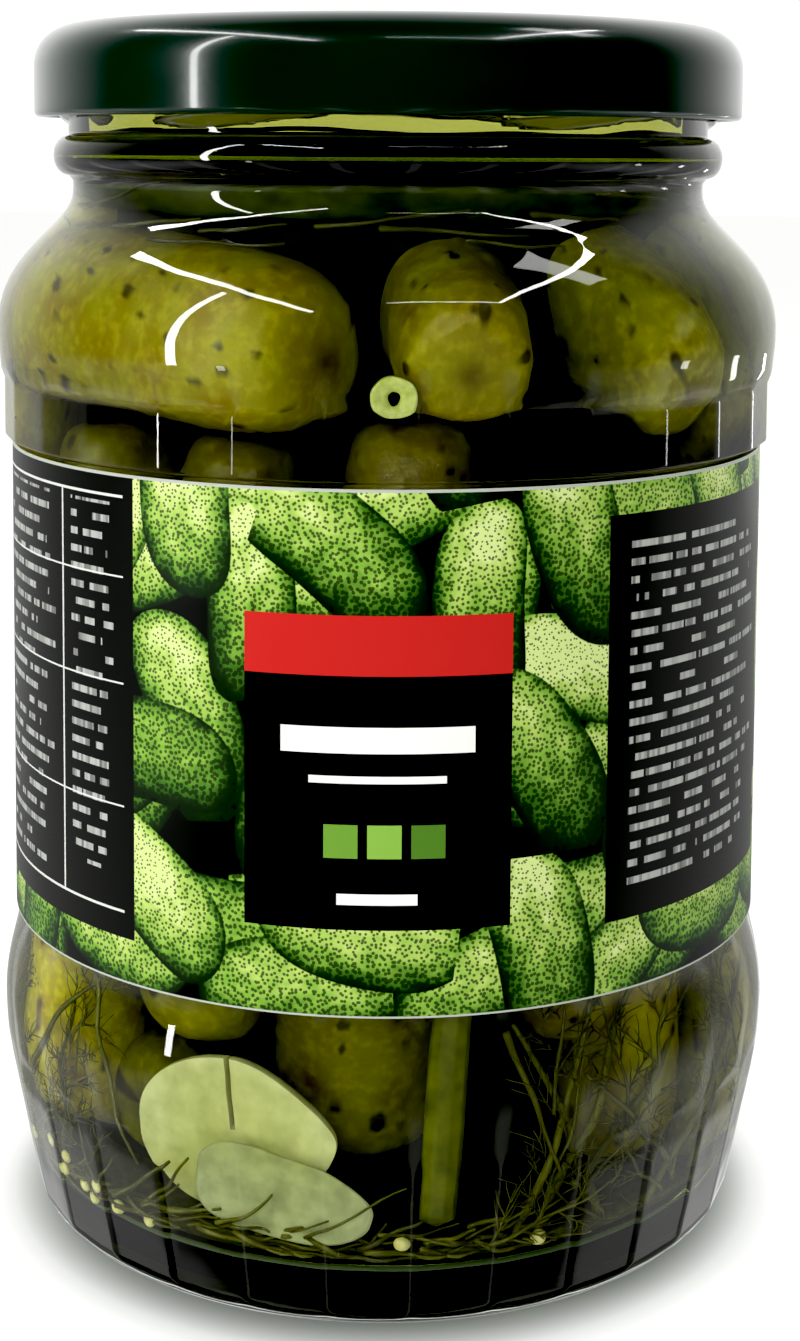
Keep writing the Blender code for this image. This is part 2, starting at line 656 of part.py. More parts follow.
def main():
    group, cutters = tidy_scene()
    make_jar(group, cutters)
    make_lid(group)
    make_label(group)
    make_pickles(group)
    make_garlic(group, cutters)
    make_stalk(group)
    make_stem_ring(group)


main()
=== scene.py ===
"""Looks of the jar of pickled gherkins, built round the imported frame.

Metres, +Z up. The front of the label looks along -Y. Azimuths are in degrees round the jar, from
the front towards +X, and outlines are lists of (radius, height).
"""

import math
import random

import bmesh
import bpy
import numpy as np
from mathutils import Matrix, Vector


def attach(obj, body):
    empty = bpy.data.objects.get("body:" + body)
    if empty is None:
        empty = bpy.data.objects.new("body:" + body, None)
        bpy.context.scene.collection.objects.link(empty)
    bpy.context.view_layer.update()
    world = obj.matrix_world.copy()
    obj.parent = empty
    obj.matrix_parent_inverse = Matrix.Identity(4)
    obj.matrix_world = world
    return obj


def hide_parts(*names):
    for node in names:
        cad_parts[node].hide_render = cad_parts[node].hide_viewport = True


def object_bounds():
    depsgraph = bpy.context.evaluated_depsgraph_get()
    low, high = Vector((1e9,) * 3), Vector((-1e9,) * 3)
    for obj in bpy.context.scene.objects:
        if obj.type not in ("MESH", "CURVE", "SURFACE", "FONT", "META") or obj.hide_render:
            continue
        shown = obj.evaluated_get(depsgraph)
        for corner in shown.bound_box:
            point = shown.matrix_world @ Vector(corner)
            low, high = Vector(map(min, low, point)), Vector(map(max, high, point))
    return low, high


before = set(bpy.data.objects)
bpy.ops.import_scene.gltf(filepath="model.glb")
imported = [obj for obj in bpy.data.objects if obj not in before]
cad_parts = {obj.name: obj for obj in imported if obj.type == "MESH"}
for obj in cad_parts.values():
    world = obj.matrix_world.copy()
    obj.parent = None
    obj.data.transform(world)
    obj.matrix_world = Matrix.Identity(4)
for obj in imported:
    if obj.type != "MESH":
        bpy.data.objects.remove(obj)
CAD_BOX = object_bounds()

MM = 0.001

# Photograph's camera, with its sizes in the picture in pixels.
PHOTO_HEIGHT = 1341
FOCAL_PIXELS = 2223.0
HORIZON_ROW = 345.0
SENSOR = 36.0
CAMERA_PLACE = (0.0, -0.2722, 0.12813)
CAMERA_PITCH = 5.10
CAMERA_ROLL = 0.36
CAMERA_YAW = 0.33

# Glass, outside.
RIM_TOP = 0.1414
RIM_HALF_WIDTH = 0.0013
FINISH_RADIUS = 0.0386
BEAD_HEIGHT = 0.1269
BEAD_PROUD = 0.0018
BEAD_HALF_HEIGHT = 0.0024
NECK_RADIUS = 0.0381
NECK_FOOT = 0.1229
UPPER_BULGE = (0.0471, 0.1063)
FACET_BAND = (0.0942, 0.1000)
FACET_BAND_RADIUS = 0.0464
PANEL_RADIUS = 0.0451
PANEL = (0.0362, 0.0932)
LOWER_BULGE = (0.0468, 0.0255)
HEEL_TOP = 0.0072
HEEL_RADIUS = 0.0446
BEARING_RADIUS = 0.0380
BEARING_WIDTH = 0.0030
PUSH_UP = 0.0026
FACETS = 30
FACET_TURN = -2.0
FACET_BLEND = 0.00008
FACET_ROUND = 0.9
FACET_STEPS = (-6.0, -5.75, -5.45, -5.1, -4.2, -1.5, 1.5, 4.2, 5.1, 5.45, 5.75)

# Glass, inside.
MOUTH_RADIUS = 0.0360
INNER_NECK = (0.0356, 0.1240)
INNER_UPPER_BULGE = (0.0444, 0.1063)
INNER_PANEL_RADIUS = 0.0425
INNER_PANEL = (0.0340, 0.0970)
INNER_LOWER_BULGE = (0.0437, 0.0255)
INNER_HEEL = (0.0426, 0.0126)
FLOOR_RADIUS = 0.0330
FLOOR_HEIGHT = 0.0048
FLOOR_CROWN = 0.0066
WALL = 0.0025

# Threads, mould seams and the knurled ring that the jar stands on.
THREADS = 6
THREAD_RADIUS = 0.0013
THREAD_START = 10.0
THREAD_SWEEP = 48.0
THREAD_TOP = 0.1345
THREAD_DROP = 0.0033
THREAD_FADE = 0.2
SEAM_AZIMUTHS = (88.0, 268.0)
SEAM_PROUD = 0.00012
KNURLS = 75
KNURL_DEPTH = 0.00022

# Lid.
LID_RADIUS = 0.0426
LID_BOTTOM = 0.1314
LID_TOP = 0.1423
LID_SHEET = 0.0006
LID_PANEL_DROP = 0.0012
LID_PANEL_RADIUS = 0.0330
LID_RING_INNER = 0.0354
LID_RING_OUTER = 0.0376
LID_SHOULDER = 0.0049
CURL_RADIUS = 0.0007
LUG_SWEEP = 12.0
LUG_REACH = 0.0390
BUTTON_RADIUS = 0.0110
BUTTON_RISE = 0.0005

# Label.
LABEL = (0.0367, 0.0929)
LABEL_RADIUS = 0.0453
PAPER = 0.00018
LAP = (172.0, 184.0)

# Liquid and how far the contents keep off the glass.
BRINE_TOP = 0.1286
MENISCUS = 0.0009
# Top of the yellow tint on the glass above the liquid, which is painted light.
FILM_TOP = 0.1370
INTO_WALL = 0.00012
CONTENTS_GAP = 0.0005

# Steps round each turned piece.
BRINE_STEPS = 150
LID_STEPS = 180
CORE_STEPS = 90
STEM_RING_STEPS = 48

# Heap: its core, and (radius, foot, top) of the bed of dill under it and the mat of dill in the neck.
CORE_RADIUS = 0.0290
CORE_FOOT = 0.0130
BED = (0.0375, 0.0058, 0.0092)
DILL_MAT = (0.0335, 0.1190, 0.1255)

# Gherkins in front: azimuth, height, roll from upright, lean of the top towards the middle,
# length, width, bend, and how far each stays off the wall. Shades, here and for the rows round the
# back, scale each skin's colour as painted shade and light: they darken those that lie deep and
# lighten the one low at the left.
FRONT_GHERKINS = (
    (-45.0, 0.1068, 86.0, 0.0, 0.043, 0.0170, 0.0035, 0.0),
    (12.2, 0.1074, -5.0, 78.0, 0.024, 0.0137, 0.0010, 0.0005),
    (48.5, 0.1074, 8.0, 64.0, 0.027, 0.0146, 0.0010, 0.0),
    (71.0, 0.1060, -5.0, 44.0, 0.034, 0.0150, 0.0015, 0.0010),
    (5.0, 0.0850, 3.0, 0.0, 0.028, 0.0142, 0.0008, 0.0),
    (-27.0, 0.0840, -8.0, 0.0, 0.026, 0.0145, 0.0008, 0.0010),
    (-52.0, 0.0840, 6.0, 0.0, 0.026, 0.0150, 0.0008, 0.0),
    (-67.0, 0.0350, 5.0, 0.0, 0.038, 0.0155, 0.0012, 0.0),
    (-45.0, 0.0208, 0.0, 88.0, 0.026, 0.0112, 0.0005, 0.0080),
    (-31.0, 0.0490, -6.0, 0.0, 0.041, 0.0145, 0.0010, 0.0010),
    (-6.0, 0.0390, 2.0, -4.0, 0.043, 0.0160, 0.0010, 0.0050),
    (30.0, 0.0490, 12.0, 0.0, 0.041, 0.0130, 0.0010, 0.0010),
    (46.0, 0.0340, -4.0, 0.0, 0.037, 0.0132, 0.0008, 0.0010),
)
FRONT_SHADES = (0.92, 0.86, 0.95, 0.50, 0.40, 0.32, 0.32, 1.90, 0.85, 0.80, 0.80, 0.80, 0.80)
ROW_SHADE = 0.85
UPPER_ROW = (93.0, 116.0, 140.0, 171.0, 201.0, 225.0, 250.0, 273.0)
UPPER_ROW_HEIGHT = 0.1010
LOWER_ROW = (72.0, 96.0, 120.0, 144.0, 168.0, 192.0, 216.0, 240.0, 264.0)
LOWER_ROW_HEIGHT = 0.0310
ROW_LENGTH = 0.040
ROW_WIDTH = 0.0152
ROW_SEED = 12

# Garlic: azimuth, height, radius of the cut face, lean, turn, half width, half height, thickness,
# how pointed the right end is and how blunt the corners are.
GARLIC = {
    "garlic_half_upper": (-23.0, 0.0205, 0.0388, -11.0, -4.0, 0.0112, 0.0086, 0.0040, 0.45, 0.95),
    "garlic_half_lower": (-15.0, 0.0151, 0.0405, 0.0, 11.0, 0.0097, 0.0048, 0.0017, 0.35, 0.62),
}
SLIT_WIDTH = 0.0006
SLIT_DEPTH = 0.0085

# Stalk and stem ring: azimuth, radius, height.
STALK_TOP = (12.0, 0.0400, 0.0520)
STALK_FOOT = (8.0, 0.0398, 0.0132)
STALK_WIDTH = 0.0040
STALK_THICKNESS = 0.0022
STEM_RING = (1.0, 0.0419, 0.1024)
STEM_RING_RADIUS = 0.0023
STEM_RING_HOLE = 0.0006
STEM_RING_THICKNESS = 0.0016

# Dill: the heights that it stays between, thick stems (azimuth, height, heading from upright, length,
# distance off the wall, thickness), and fronds in front and high at the back (azimuth, height, heading).
DILL_SPAN = (0.0088, 0.1265)
DILL_STEMS = (
    (24, 0.0105, 30, 0.030, 0.0030, 0.00075),
    (35, 0.0100, -20, 0.026, 0.0030, 0.0006),
    (58, 0.0110, 12, 0.030, 0.0028, 0.00055),
    (70, 0.0120, -8, 0.026, 0.0030, 0.0006),
    (44, 0.0100, 42, 0.034, 0.0016, 0.0007),
    (30, 0.0150, 48, 0.030, 0.0030, 0.0006),
    (20, 0.0100, 24, 0.032, 0.0022, 0.0006),
    (52, 0.0110, -38, 0.022, 0.0022, 0.0005),
    (-60, 0.0110, 18, 0.020, 0.0026, 0.0004),
    (-50, 0.0360, 160, 0.022, 0.0014, 0.0004),
    (18, 0.0330, 160, 0.018, 0.0015, 0.00045),
)
FRONT_FRONDS = ((22, 0.012, 20), (30, 0.014, 40), (38, 0.020, -10), (48, 0.012, 25), (60, 0.016, 5),
                (68, 0.020, -20), (76, 0.012, 10), (16, 0.010, 70), (34, 0.034, 30), (56, 0.036, -10),
                (-50, 0.010, -20), (-56, 0.014, 20), (-66, 0.011, 35), (42, 0.026, 15), (26, 0.024, 10),
                (-55, 0.026, 30), (-72, 0.014, 10), (64, 0.030, 10), (34, 0.0100, -60),
                (46, 0.0105, -50), (24, 0.034, 40), (62, 0.0105, 40))
HIGH_SPRIGS = ((102, 0.095, 10), (190, 0.095, 20), (285, 0.096, -10))

# Mustard seeds: their size, and azimuth and height of those in front.
MUSTARD_RADIUS = 0.00088
FRONT_SEEDS = ((-59.0, 0.0098), (-53.0, 0.0094), (-51.0, 0.0083), (-49.0, 0.0104), (-45.5, 0.0086),
               (-38.0, 0.0088), (3.0, 0.0107), (24.0, 0.0096), (-57.5, 0.0118), (-62.0, 0.0125))
SEED = 7

# Print of the label, in mm from the middle of its front and up from its foot: layers of fruits
# (cell, half length, half width, shift), black panels, greeked blocks, and coloured rules. Bare paper
# shows in strips at its top and foot.
PRINT_BLACK = "040603"
PRINT_GREENS = ((0.0, "040803"), (0.25, "14300a"), (0.48, "3f7219"), (0.70, "7fae3a"),
                (0.88, "b0cd62"), (1.0, "cfe28e"))
PRINT_SCATTER = 0.34
CUT_TOP_MM = 0.32
CUT_FOOT_MM = 0.22
PRINT_LAYERS = ((20.0, 11.0, 5.3, 311.0), (21.5, 12.0, 5.5, 173.0), (20.5, 11.4, 5.0, 57.0),
                (22.0, 12.2, 5.6, 402.0))
PRINT_PANELS = ((-15.0, 9.5, 13.5, 43.0), (-64.0, 5.0, -29.0, 56.4), (25.0, 8.0, 60.0, 52.5),
                (98.0, 10.0, 126.0, 46.0), (-128.0, 10.0, -100.0, 46.0))
PRINT_LINE_MM = 1.95
PRINT_STROKE_MM = 0.42
PRINT_LINES = ((-61.0, 9.0, -43.0, 53.0), (-39.5, 12.0, -32.0, 53.0), (28.0, 11.0, 57.0, 49.5),
               (101.0, 14.0, 123.0, 30.0), (-125.0, 20.0, -103.0, 42.0))
PRINT_RULES = ((-62.5, 53.6, -30.5, 53.9, "d8dad4"), (-41.4, 8.0, -41.1, 53.6, "d8dad4"),
               (-62.5, 7.8, -30.5, 8.1, "d8dad4"), (-62.5, 44.9, -30.5, 45.1, "d8dad4"),
               (-62.5, 33.2, -30.5, 33.4, "d8dad4"), (-62.5, 19.6, -30.5, 19.8, "d8dad4"),
               (-6.4, 17.2, -2.8, 20.8, "6c9c34"), (-1.8, 17.2, 1.8, 20.8, "86b545"),
               (2.8, 17.2, 6.4, 20.8, "4f7f24"), (-15.0, 36.6, 13.5, 43.0, "c3201c"),
               (-11.0, 28.4, 9.5, 31.2, "f1f1ec"), (-8.0, 25.2, 6.5, 26.0, "f1f1ec"),
               (-5.0, 12.2, 3.5, 13.4, "f1f1ec"), (101.0, 36.0, 123.0, 38.0, "f1f1ec"))

# Studio: soft lights and a mirrored panel (place, size, power), lamps (start, end, width, power), and
# the directions of short lamps that the borders of the facets mirror as bright lines.
LIGHT_TARGET = (0.0, 0.0, 0.07)
LAMP_TARGET = (0.0, 0.0, 0.09)
SOFT_LIGHTS = {
    "overhead": ((0.0, 0.30, 0.95), (0.70, 0.50), 4.5),
    "front_fill": ((-0.15, -1.00, 0.45), (0.60, 0.50), 5.0),
    "left_fill": ((-0.66, -0.38, 0.40), (0.12, 0.50), 2.9),
}
RIGHT_PANEL = ((0.40, -0.03, 0.715), (0.10, 0.24), 0.35)
LAMPS = {
    "left_slit": ((-0.505, -0.29, 0.012), (-0.505, -0.29, 0.71), 0.026, 1.0),
    "left_tube": ((-0.556, 0.310, 0.717), (-0.331, -0.739, 0.711), 0.030, 1.75),
    "right_tube": ((0.417, 0.161, 0.717), (0.387, -0.489, 0.712), 0.020, 0.8),
    "cross_tube": ((0.387, -0.489, 0.712), (-0.008, -0.563, 0.712), 0.010, 0.17),
}
GLINTS = (-44.0, 88.0, 113.0, 138.0)
GLINT_RADIUS = 0.30
GLINT_HEIGHTS = (0.045, 0.068)
GLINT_WIDTH = 0.014
GLINT_POWER = 0.006
STRIPE_START = math.radians(44.0)
STRIPE_STEP = math.radians(25.6)
STRIPE_SHIFT = math.radians(17.0)


def arc(centre, radii, start, end, count):
    """Points of an ellipse's stretch about (radius, height), by angle from outwards."""
    points = []
    for i in range(count + 1):
        angle = math.radians(start + (end - start) * i / count)
        points.append((centre[0] + radii[0] * math.cos(angle), centre[1] + radii[1] * math.sin(angle)))
    return points


def curve(start, start_pull, end_pull, end, count):
    """Points of a cubic curve, after its start."""
    points = []
    for i in range(1, count + 1):
        t = i / count
        s = 1.0 - t
        weights = (s ** 3, 3 * s * s * t, 3 * s * t * t, t ** 3)
        corners = (start, start_pull, end_pull, end)
        points.append(tuple(sum(w * c[k] for w, c in zip(weights, corners)) for k in (0, 1)))
    return points


def line(start, end, count):
    """Points of a straight stretch, after its start."""
    return [tuple(a + (b - a) * i / count for a, b in zip(start, end)) for i in range(1, count + 1)]


def smooth_step(low, high, value):
    """0 below low, 1 above high, and a soft rise between."""
    t = np.clip((value - low) / (high - low), 0.0, 1.0)
    return t * t * (3.0 - 2.0 * t)


def outer_outline():
    """Outside of the glass, from the top of the rim down to the middle of its underside."""
    rim = (MOUTH_RADIUS + RIM_HALF_WIDTH, RIM_TOP - RIM_HALF_WIDTH)
    bulge_r, bulge_z = UPPER_BULGE
    low_r = LOWER_BULGE[0]
    bead_top = (FINISH_RADIUS, BEAD_HEIGHT + BEAD_HALF_HEIGHT)
    points = arc(rim, (RIM_HALF_WIDTH, RIM_HALF_WIDTH), 90, 0, 6)
    points += line(points[-1], bead_top, 34)
    points += arc((FINISH_RADIUS, BEAD_HEIGHT), (BEAD_PROUD, BEAD_HALF_HEIGHT), 90, -90, 12)[1:]
    neck_top = (NECK_RADIUS, BEAD_HEIGHT - BEAD_HALF_HEIGHT - 0.0006)
    points += [neck_top, (NECK_RADIUS, NECK_FOOT)]
    points += curve((NECK_RADIUS, NECK_FOOT), (NECK_RADIUS, 0.1182), (bulge_r, 0.1160), UPPER_BULGE, 26)
    points += curve(UPPER_BULGE, (bulge_r, bulge_z - 0.002), (FACET_BAND_RADIUS + 0.0003, 0.1030),
                    (FACET_BAND_RADIUS + 0.0003, FACET_BAND[1]), 14)
    band_foot = (FACET_BAND_RADIUS + 0.0003, FACET_BAND[0])
    points += line(points[-1], band_foot, 5)
    points += curve(band_foot, (band_foot[0], PANEL[1] + 0.0004), (PANEL_RADIUS, PANEL[1] + 0.0004),
                    (PANEL_RADIUS, PANEL[1]), 6)
    points += line(points[-1], (PANEL_RADIUS, PANEL[0]), 4)
    points += curve((PANEL_RADIUS, PANEL[0]), (PANEL_RADIUS, 0.0330), (low_r, 0.0300), LOWER_BULGE, 14)
    points += curve(LOWER_BULGE, (low_r, 0.0205), (HEEL_RADIUS + 0.0011, 0.0125),
                    (HEEL_RADIUS, HEEL_TOP), 26)
    heel = (HEEL_RADIUS - BEARING_RADIUS, HEEL_TOP)
    points += arc((BEARING_RADIUS, HEEL_TOP), heel, 0, -90, 12)[1:]
    points += [(BEARING_RADIUS - BEARING_WIDTH / 2, 0.0), (BEARING_RADIUS - BEARING_WIDTH, 0.0)]
    points += curve(points[-1], (0.0338, 0.0), (0.0330, PUSH_UP * 0.6), (0.0290, PUSH_UP * 0.75), 6)
    points += line(points[-1], (0.0, PUSH_UP), 4)
    return points


def inner_outline():
    """Inside of the glass, from the mouth down to the middle of its floor."""
    bulge_r, low_r = INNER_UPPER_BULGE[0], INNER_LOWER_BULGE[0]
    panel_top = (INNER_PANEL_RADIUS, INNER_PANEL[1])
    panel_foot = (INNER_PANEL_RADIUS, INNER_PANEL[0])
    points = [(MOUTH_RADIUS, RIM_TOP - RIM_HALF_WIDTH)]
    points += line(points[-1], INNER_NECK, 5)
    points += curve(INNER_NECK, (INNER_NECK[0], 0.1172), (bulge_r, 0.1146), INNER_UPPER_BULGE, 20)
    points += curve(INNER_UPPER_BULGE, (bulge_r, 0.1025), (INNER_PANEL_RADIUS, 0.1015), panel_top, 10)
    points += line(panel_top, panel_foot, 4)
    points += curve(panel_foot, (INNER_PANEL_RADIUS, 0.0310), (low_r, 0.0290), INNER_LOWER_BULGE, 8)
    points += curve(INNER_LOWER_BULGE, (low_r, 0.0200), (INNER_HEEL[0], 0.0170), INNER_HEEL, 8)
    heel = (INNER_HEEL[0] - FLOOR_RADIUS, INNER_HEEL[1] - FLOOR_HEIGHT)
    points += arc((FLOOR_RADIUS, INNER_HEEL[1]), heel, 0, -90, 10)[1:]
    points += line(points[-1], (0.0, FLOOR_CROWN), 4)
    return points


INNER = np.array(inner_outline())


def wall_radius(height):
    """Radius of the inner wall at a height or an array of heights."""
    wall = INNER[INNER[:, 1] <= RIM_TOP][::-1]
    edge = int(np.argmin(wall[:, 1]))
    return np.interp(height, wall[edge:, 1], wall[edge:, 0])


def glass_waves(azimuth, height):
    """Unevenness that blowing leaves on the inner wall."""
    slow = np.sin(3 * azimuth + 110 * height) + 0.7 * np.sin(5 * azimuth - 170 * height + 1.3)
    return 0.00005 * (slow + 0.5 * np.sin(11 * azimuth + 260 * height + 0.4))


def outwards(azimuth):
    """Matrix that turns +X to look outwards at an azimuth."""
    return Matrix.Rotation(math.radians(azimuth - 90.0), 4, "Z")


def round_point(azimuth, radius, height):
    """Point round the jar."""
    return outwards(azimuth) @ Vector((radius, 0.0, height))


def object_of(name, points, faces):
    """Smooth mesh object of points and faces, with its normals turned out."""
    mesh = bpy.data.meshes.new(name)
    mesh.from_pydata([tuple(p) for p in points], [], faces)
    shape = bmesh.new()
    shape.from_mesh(mesh)
    bmesh.ops.remove_doubles(shape, verts=shape.verts, dist=0.0000005)
    bmesh.ops.recalc_face_normals(shape, faces=shape.faces)
    shape.to_mesh(mesh)
    shape.free()
    mesh.shade_smooth()
    piece = bpy.data.objects.new(name, mesh)
    bpy.context.scene.collection.objects.link(piece)
    return piece


def turned(name, outline, steps, relief=None, closed=False):
    """Skin of an outline turned about the jar's axis, in even steps or at given azimuths. relief moves
    its points by azimuth."""
    rows = np.array(outline, float)
    azimuths = np.radians(steps if isinstance(steps, np.ndarray) else np.arange(steps) * 360.0 / steps)
    steps = len(azimuths)
    radius = np.repeat(rows[:, :1], steps, axis=1)
    height = np.repeat(rows[:, 1:], steps, axis=1)
    if relief is not None:
        radius, height = relief(radius, height, azimuths[None, :])
    x = radius * np.sin(azimuths)
    y = -radius * np.cos(azimuths)
    points = np.stack([x, y, height], axis=2).reshape(-1, 3)
    count = len(rows)
    faces = []
    for i in range(count if closed else count - 1):
        k = (i + 1) % count
        for j in range(steps):
            n = (j + 1) % steps
            faces.append((i * steps + j, i * steps + n, k * steps + n, k * steps + j))
    return object_of(name, points, faces)


def finish(piece, slot, *replaced):
    """Puts a piece on the jar's body and hides the nodes that it stands for. Its slot is not used."""
    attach(piece, "root")
    if replaced:
        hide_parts(*replaced)
    return piece


# Materials.

def colour(hexcode):
    """Linear colour of an sRGB hex value."""
    parts = [int(hexcode[i:i + 2], 16) / 255.0 for i in (0, 2, 4)]
    return (*[c / 12.92 if c <= 0.04045 else ((c + 0.055) / 1.055) ** 2.4 for c in parts], 1.0)


def node(tree, kind, inputs=None, **settings):
    """Adds a node with its settings. Each input gets a value, or a link from a socket or from the
    first output in use of another node."""
    made = tree.nodes.new(kind)
    for name, value in settings.items():
        setattr(made, name, value)
    for name, value in (inputs or {}).items():
        if isinstance(value, bpy.types.Node):
            value = next(output for output in value.outputs if output.enabled)
        if isinstance(value, bpy.types.NodeSocket):
            tree.links.new(value, made.inputs[name])
        else:
            made.inputs[name].default_value = value
    return made


def clear_to_shadows(tree, body, hexcode):
    """Shader that lets shadows and soft light straight through in a colour."""
    rays = node(tree, "ShaderNodeLightPath").outputs
    through = node(tree, "ShaderNodeMath", {0: rays["Is Shadow Ray"], 1: rays["Is Diffuse Ray"]},
                   operation="MAXIMUM")
    clear = node(tree, "ShaderNodeBsdfTransparent", {"Color": colour(hexcode)})
    return node(tree, "ShaderNodeMixShader", {0: through, 1: body, 2: clear})


def new_material(name):
    """Empty material and its tree."""
    material = bpy.data.materials.new(name)
    material.use_nodes = True
    material.node_tree.nodes.clear()
    return material, material.node_tree


def blown_soda_lime_glass():
    """Soda-lime glass blown in a mould: clear with a breath of green, and slow ripples that bend its
    highlights."""
    material, tree = new_material("blown_soda_lime_glass")
    ripple_mm = 9.0
    place = node(tree, "ShaderNodeTexCoord").outputs["Object"]
    ripple = node(tree, "ShaderNodeTexNoise", {
        "Vector": place, "Scale": 1.0 / (ripple_mm * MM), "Detail": 1.0})
    bump = node(tree, "ShaderNodeBump", {"Height": ripple, "Strength": 0.25, "Distance": 0.00025})
    body = node(tree, "ShaderNodeBsdfPrincipled", {
        "Base Color": colour("eef5ea"), "Roughness": 0.015, "IOR": 1.52, "Transmission Weight": 1.0,
        "Normal": bump})
    clear = clear_to_shadows(tree, body, "f4f8f2")
    node(tree, "ShaderNodeOutputMaterial", {"Surface": clear})
    return material


def wetted_glass_wall(name, hexcode):
    """Inside of the glass where brine wets it: the two bend light alike, so that it mirrors next to
    nothing and the contents show clearly. Above the liquid the glass is tinted yellow as painted
    light, for light that has come through brine."""
    material, tree = new_material(name)
    body = node(tree, "ShaderNodeBsdfRefraction", {"Color": colour(hexcode), "Roughness": 0.0, "IOR": 1.52})
    clear = clear_to_shadows(tree, body, hexcode)
    node(tree, "ShaderNodeOutputMaterial", {"Surface": clear})
    return material


def vinegar_brine():
    """Vinegar brine: water-clear at the wall and yellow-green where it is deep."""
    material, tree = new_material("vinegar_brine")
    body = node(tree, "ShaderNodeBsdfRefraction", {"Color": colour("ffffff"), "Roughness": 0.0, "IOR": 1.345})
    tint = node(tree, "ShaderNodeVolumeAbsorption", {"Color": colour("d6dc3c"), "Density": 110.0})
    clear = clear_to_shadows(tree, body, "ffffff")
    node(tree, "ShaderNodeOutputMaterial", {"Surface": clear, "Volume": tint})
    return material


def lacquered_tinplate():
    """Tinplate with a stoved green lacquer: very dark, smooth and glossy, with a faint orange peel."""
    material, tree = new_material("lacquered_tinplate")
    peel_mm, cloud_mm = 0.9, 16.67
    place = node(tree, "ShaderNodeTexCoord").outputs["Object"]
    peel = node(tree, "ShaderNodeTexNoise", {"Vector": place, "Scale": 1.0 / (peel_mm * MM), "Detail": 2.0})
    bump = node(tree, "ShaderNodeBump", {"Height": peel, "Strength": 0.12, "Distance": 0.00004})
    cloud = node(tree, "ShaderNodeTexNoise", {"Vector": place, "Scale": 1.0 / (cloud_mm * MM), "Detail": 3.0})
    tone = node(tree, "ShaderNodeMix", {0: cloud, 6: colour("011a10"), 7: colour("022416")}, data_type="RGBA")
    wear = node(tree, "ShaderNodeMapRange", {0: cloud, 1: 0.3, 2: 0.75, 3: 0.16, 4: 0.24})
    body = node(tree, "ShaderNodeBsdfPrincipled", {
        "Base Color": tone, "Roughness": wear, "Coat Weight": 0.6, "Coat Roughness": 0.06, "Normal": bump})
    node(tree, "ShaderNodeOutputMaterial", {"Surface": body})
    return material


def golden_lid_lacquer():
    """Pale golden lacquer, rolled on inside the lid: satin and warm."""
    material, tree = new_material("golden_lid_lacquer")
    cloud_mm = 3.33
    place = node(tree, "ShaderNodeTexCoord").outputs["Object"]
    cloud = node(tree, "ShaderNodeTexNoise", {"Vector": place, "Scale": 1.0 / (cloud_mm * MM), "Detail": 3.0})
    tone = node(tree, "ShaderNodeMix", {0: cloud, 6: colour("bcba7e"), 7: colour("cbc88e")}, data_type="RGBA")
    body = node(tree, "ShaderNodeBsdfPrincipled", {"Base Color": tone, "Roughness": 0.4})
    node(tree, "ShaderNodeOutputMaterial", {"Surface": body})
    return material


def cured_gherkin_skin():
    """Skin of a gherkin cured in brine: wet, olive yellow, mottled, with brown tips on its warts."""
    material, tree = new_material("cured_gherkin_skin")
    mottle_mm, streak_mm = 6.0, 1.3
    place = node(tree, "ShaderNodeTexCoord").outputs["Object"]
    wart, tone, tip, shade = [node(tree, "ShaderNodeAttribute", attribute_name=name).outputs["Fac"]
                              for name in ("wart", "tone", "tip", "shade")]
    mottle = node(tree, "ShaderNodeTexNoise", {
        "Vector": place, "Scale": 1.0 / (mottle_mm * MM), "Detail": 4.0})
    fine = node(tree, "ShaderNodeTexNoise", {"Vector": place, "Scale": 1.0 / (streak_mm * MM), "Detail": 3.0})
    # Ripeness, mottling and pale streaks.
    skin = node(tree, "ShaderNodeMix", {0: tone, 6: colour("716c08"), 7: colour("8f7406")}, data_type="RGBA")
    patch = node(tree, "ShaderNodeMapRange", {0: mottle, 1: 0.38, 2: 0.66})
    skin = node(tree, "ShaderNodeMix", {0: patch, 6: skin, 7: colour("958d0f")}, data_type="RGBA")
    pale = node(tree, "ShaderNodeMapRange", {0: fine, 1: 0.46, 2: 0.72, 4: 0.5})
    skin = node(tree, "ShaderNodeMix", {0: pale, 6: skin, 7: colour("bcae22")}, data_type="RGBA")
    # Brown ends, dark warts and a little rust.
    skin = node(tree, "ShaderNodeMix", {0: tip, 6: skin, 7: colour("5d4a0c")}, data_type="RGBA")
    dots = node(tree, "ShaderNodeMapRange", {0: wart, 1: 0.22, 2: 0.62, 4: 0.95},
                interpolation_type="SMOOTHSTEP")
    skin = node(tree, "ShaderNodeMix", {0: dots, 6: skin, 7: colour("2c2002")}, data_type="RGBA")
    rust = node(tree, "ShaderNodeMapRange", {0: mottle, 1: 0.34, 2: 0.27, 4: 0.7})
    skin = node(tree, "ShaderNodeMix", {0: rust, 6: skin, 7: colour("5a3406")}, data_type="RGBA")
    # Painted shade and light: the colour is scaled by each gherkin's shade.
    shaded = node(tree, "ShaderNodeVectorMath", {0: skin, "Scale": shade}, operation="SCALE")
    bump = node(tree, "ShaderNodeBump", {"Height": fine, "Strength": 0.4, "Distance": 0.0003})
    wet = node(tree, "ShaderNodeMapRange", {0: mottle, 3: 0.30, 4: 0.46})
    body = node(tree, "ShaderNodeBsdfPrincipled", {"Base Color": shaded, "Roughness": wet, "Normal": bump})
    node(tree, "ShaderNodeOutputMaterial", {"Surface": body})
    return material


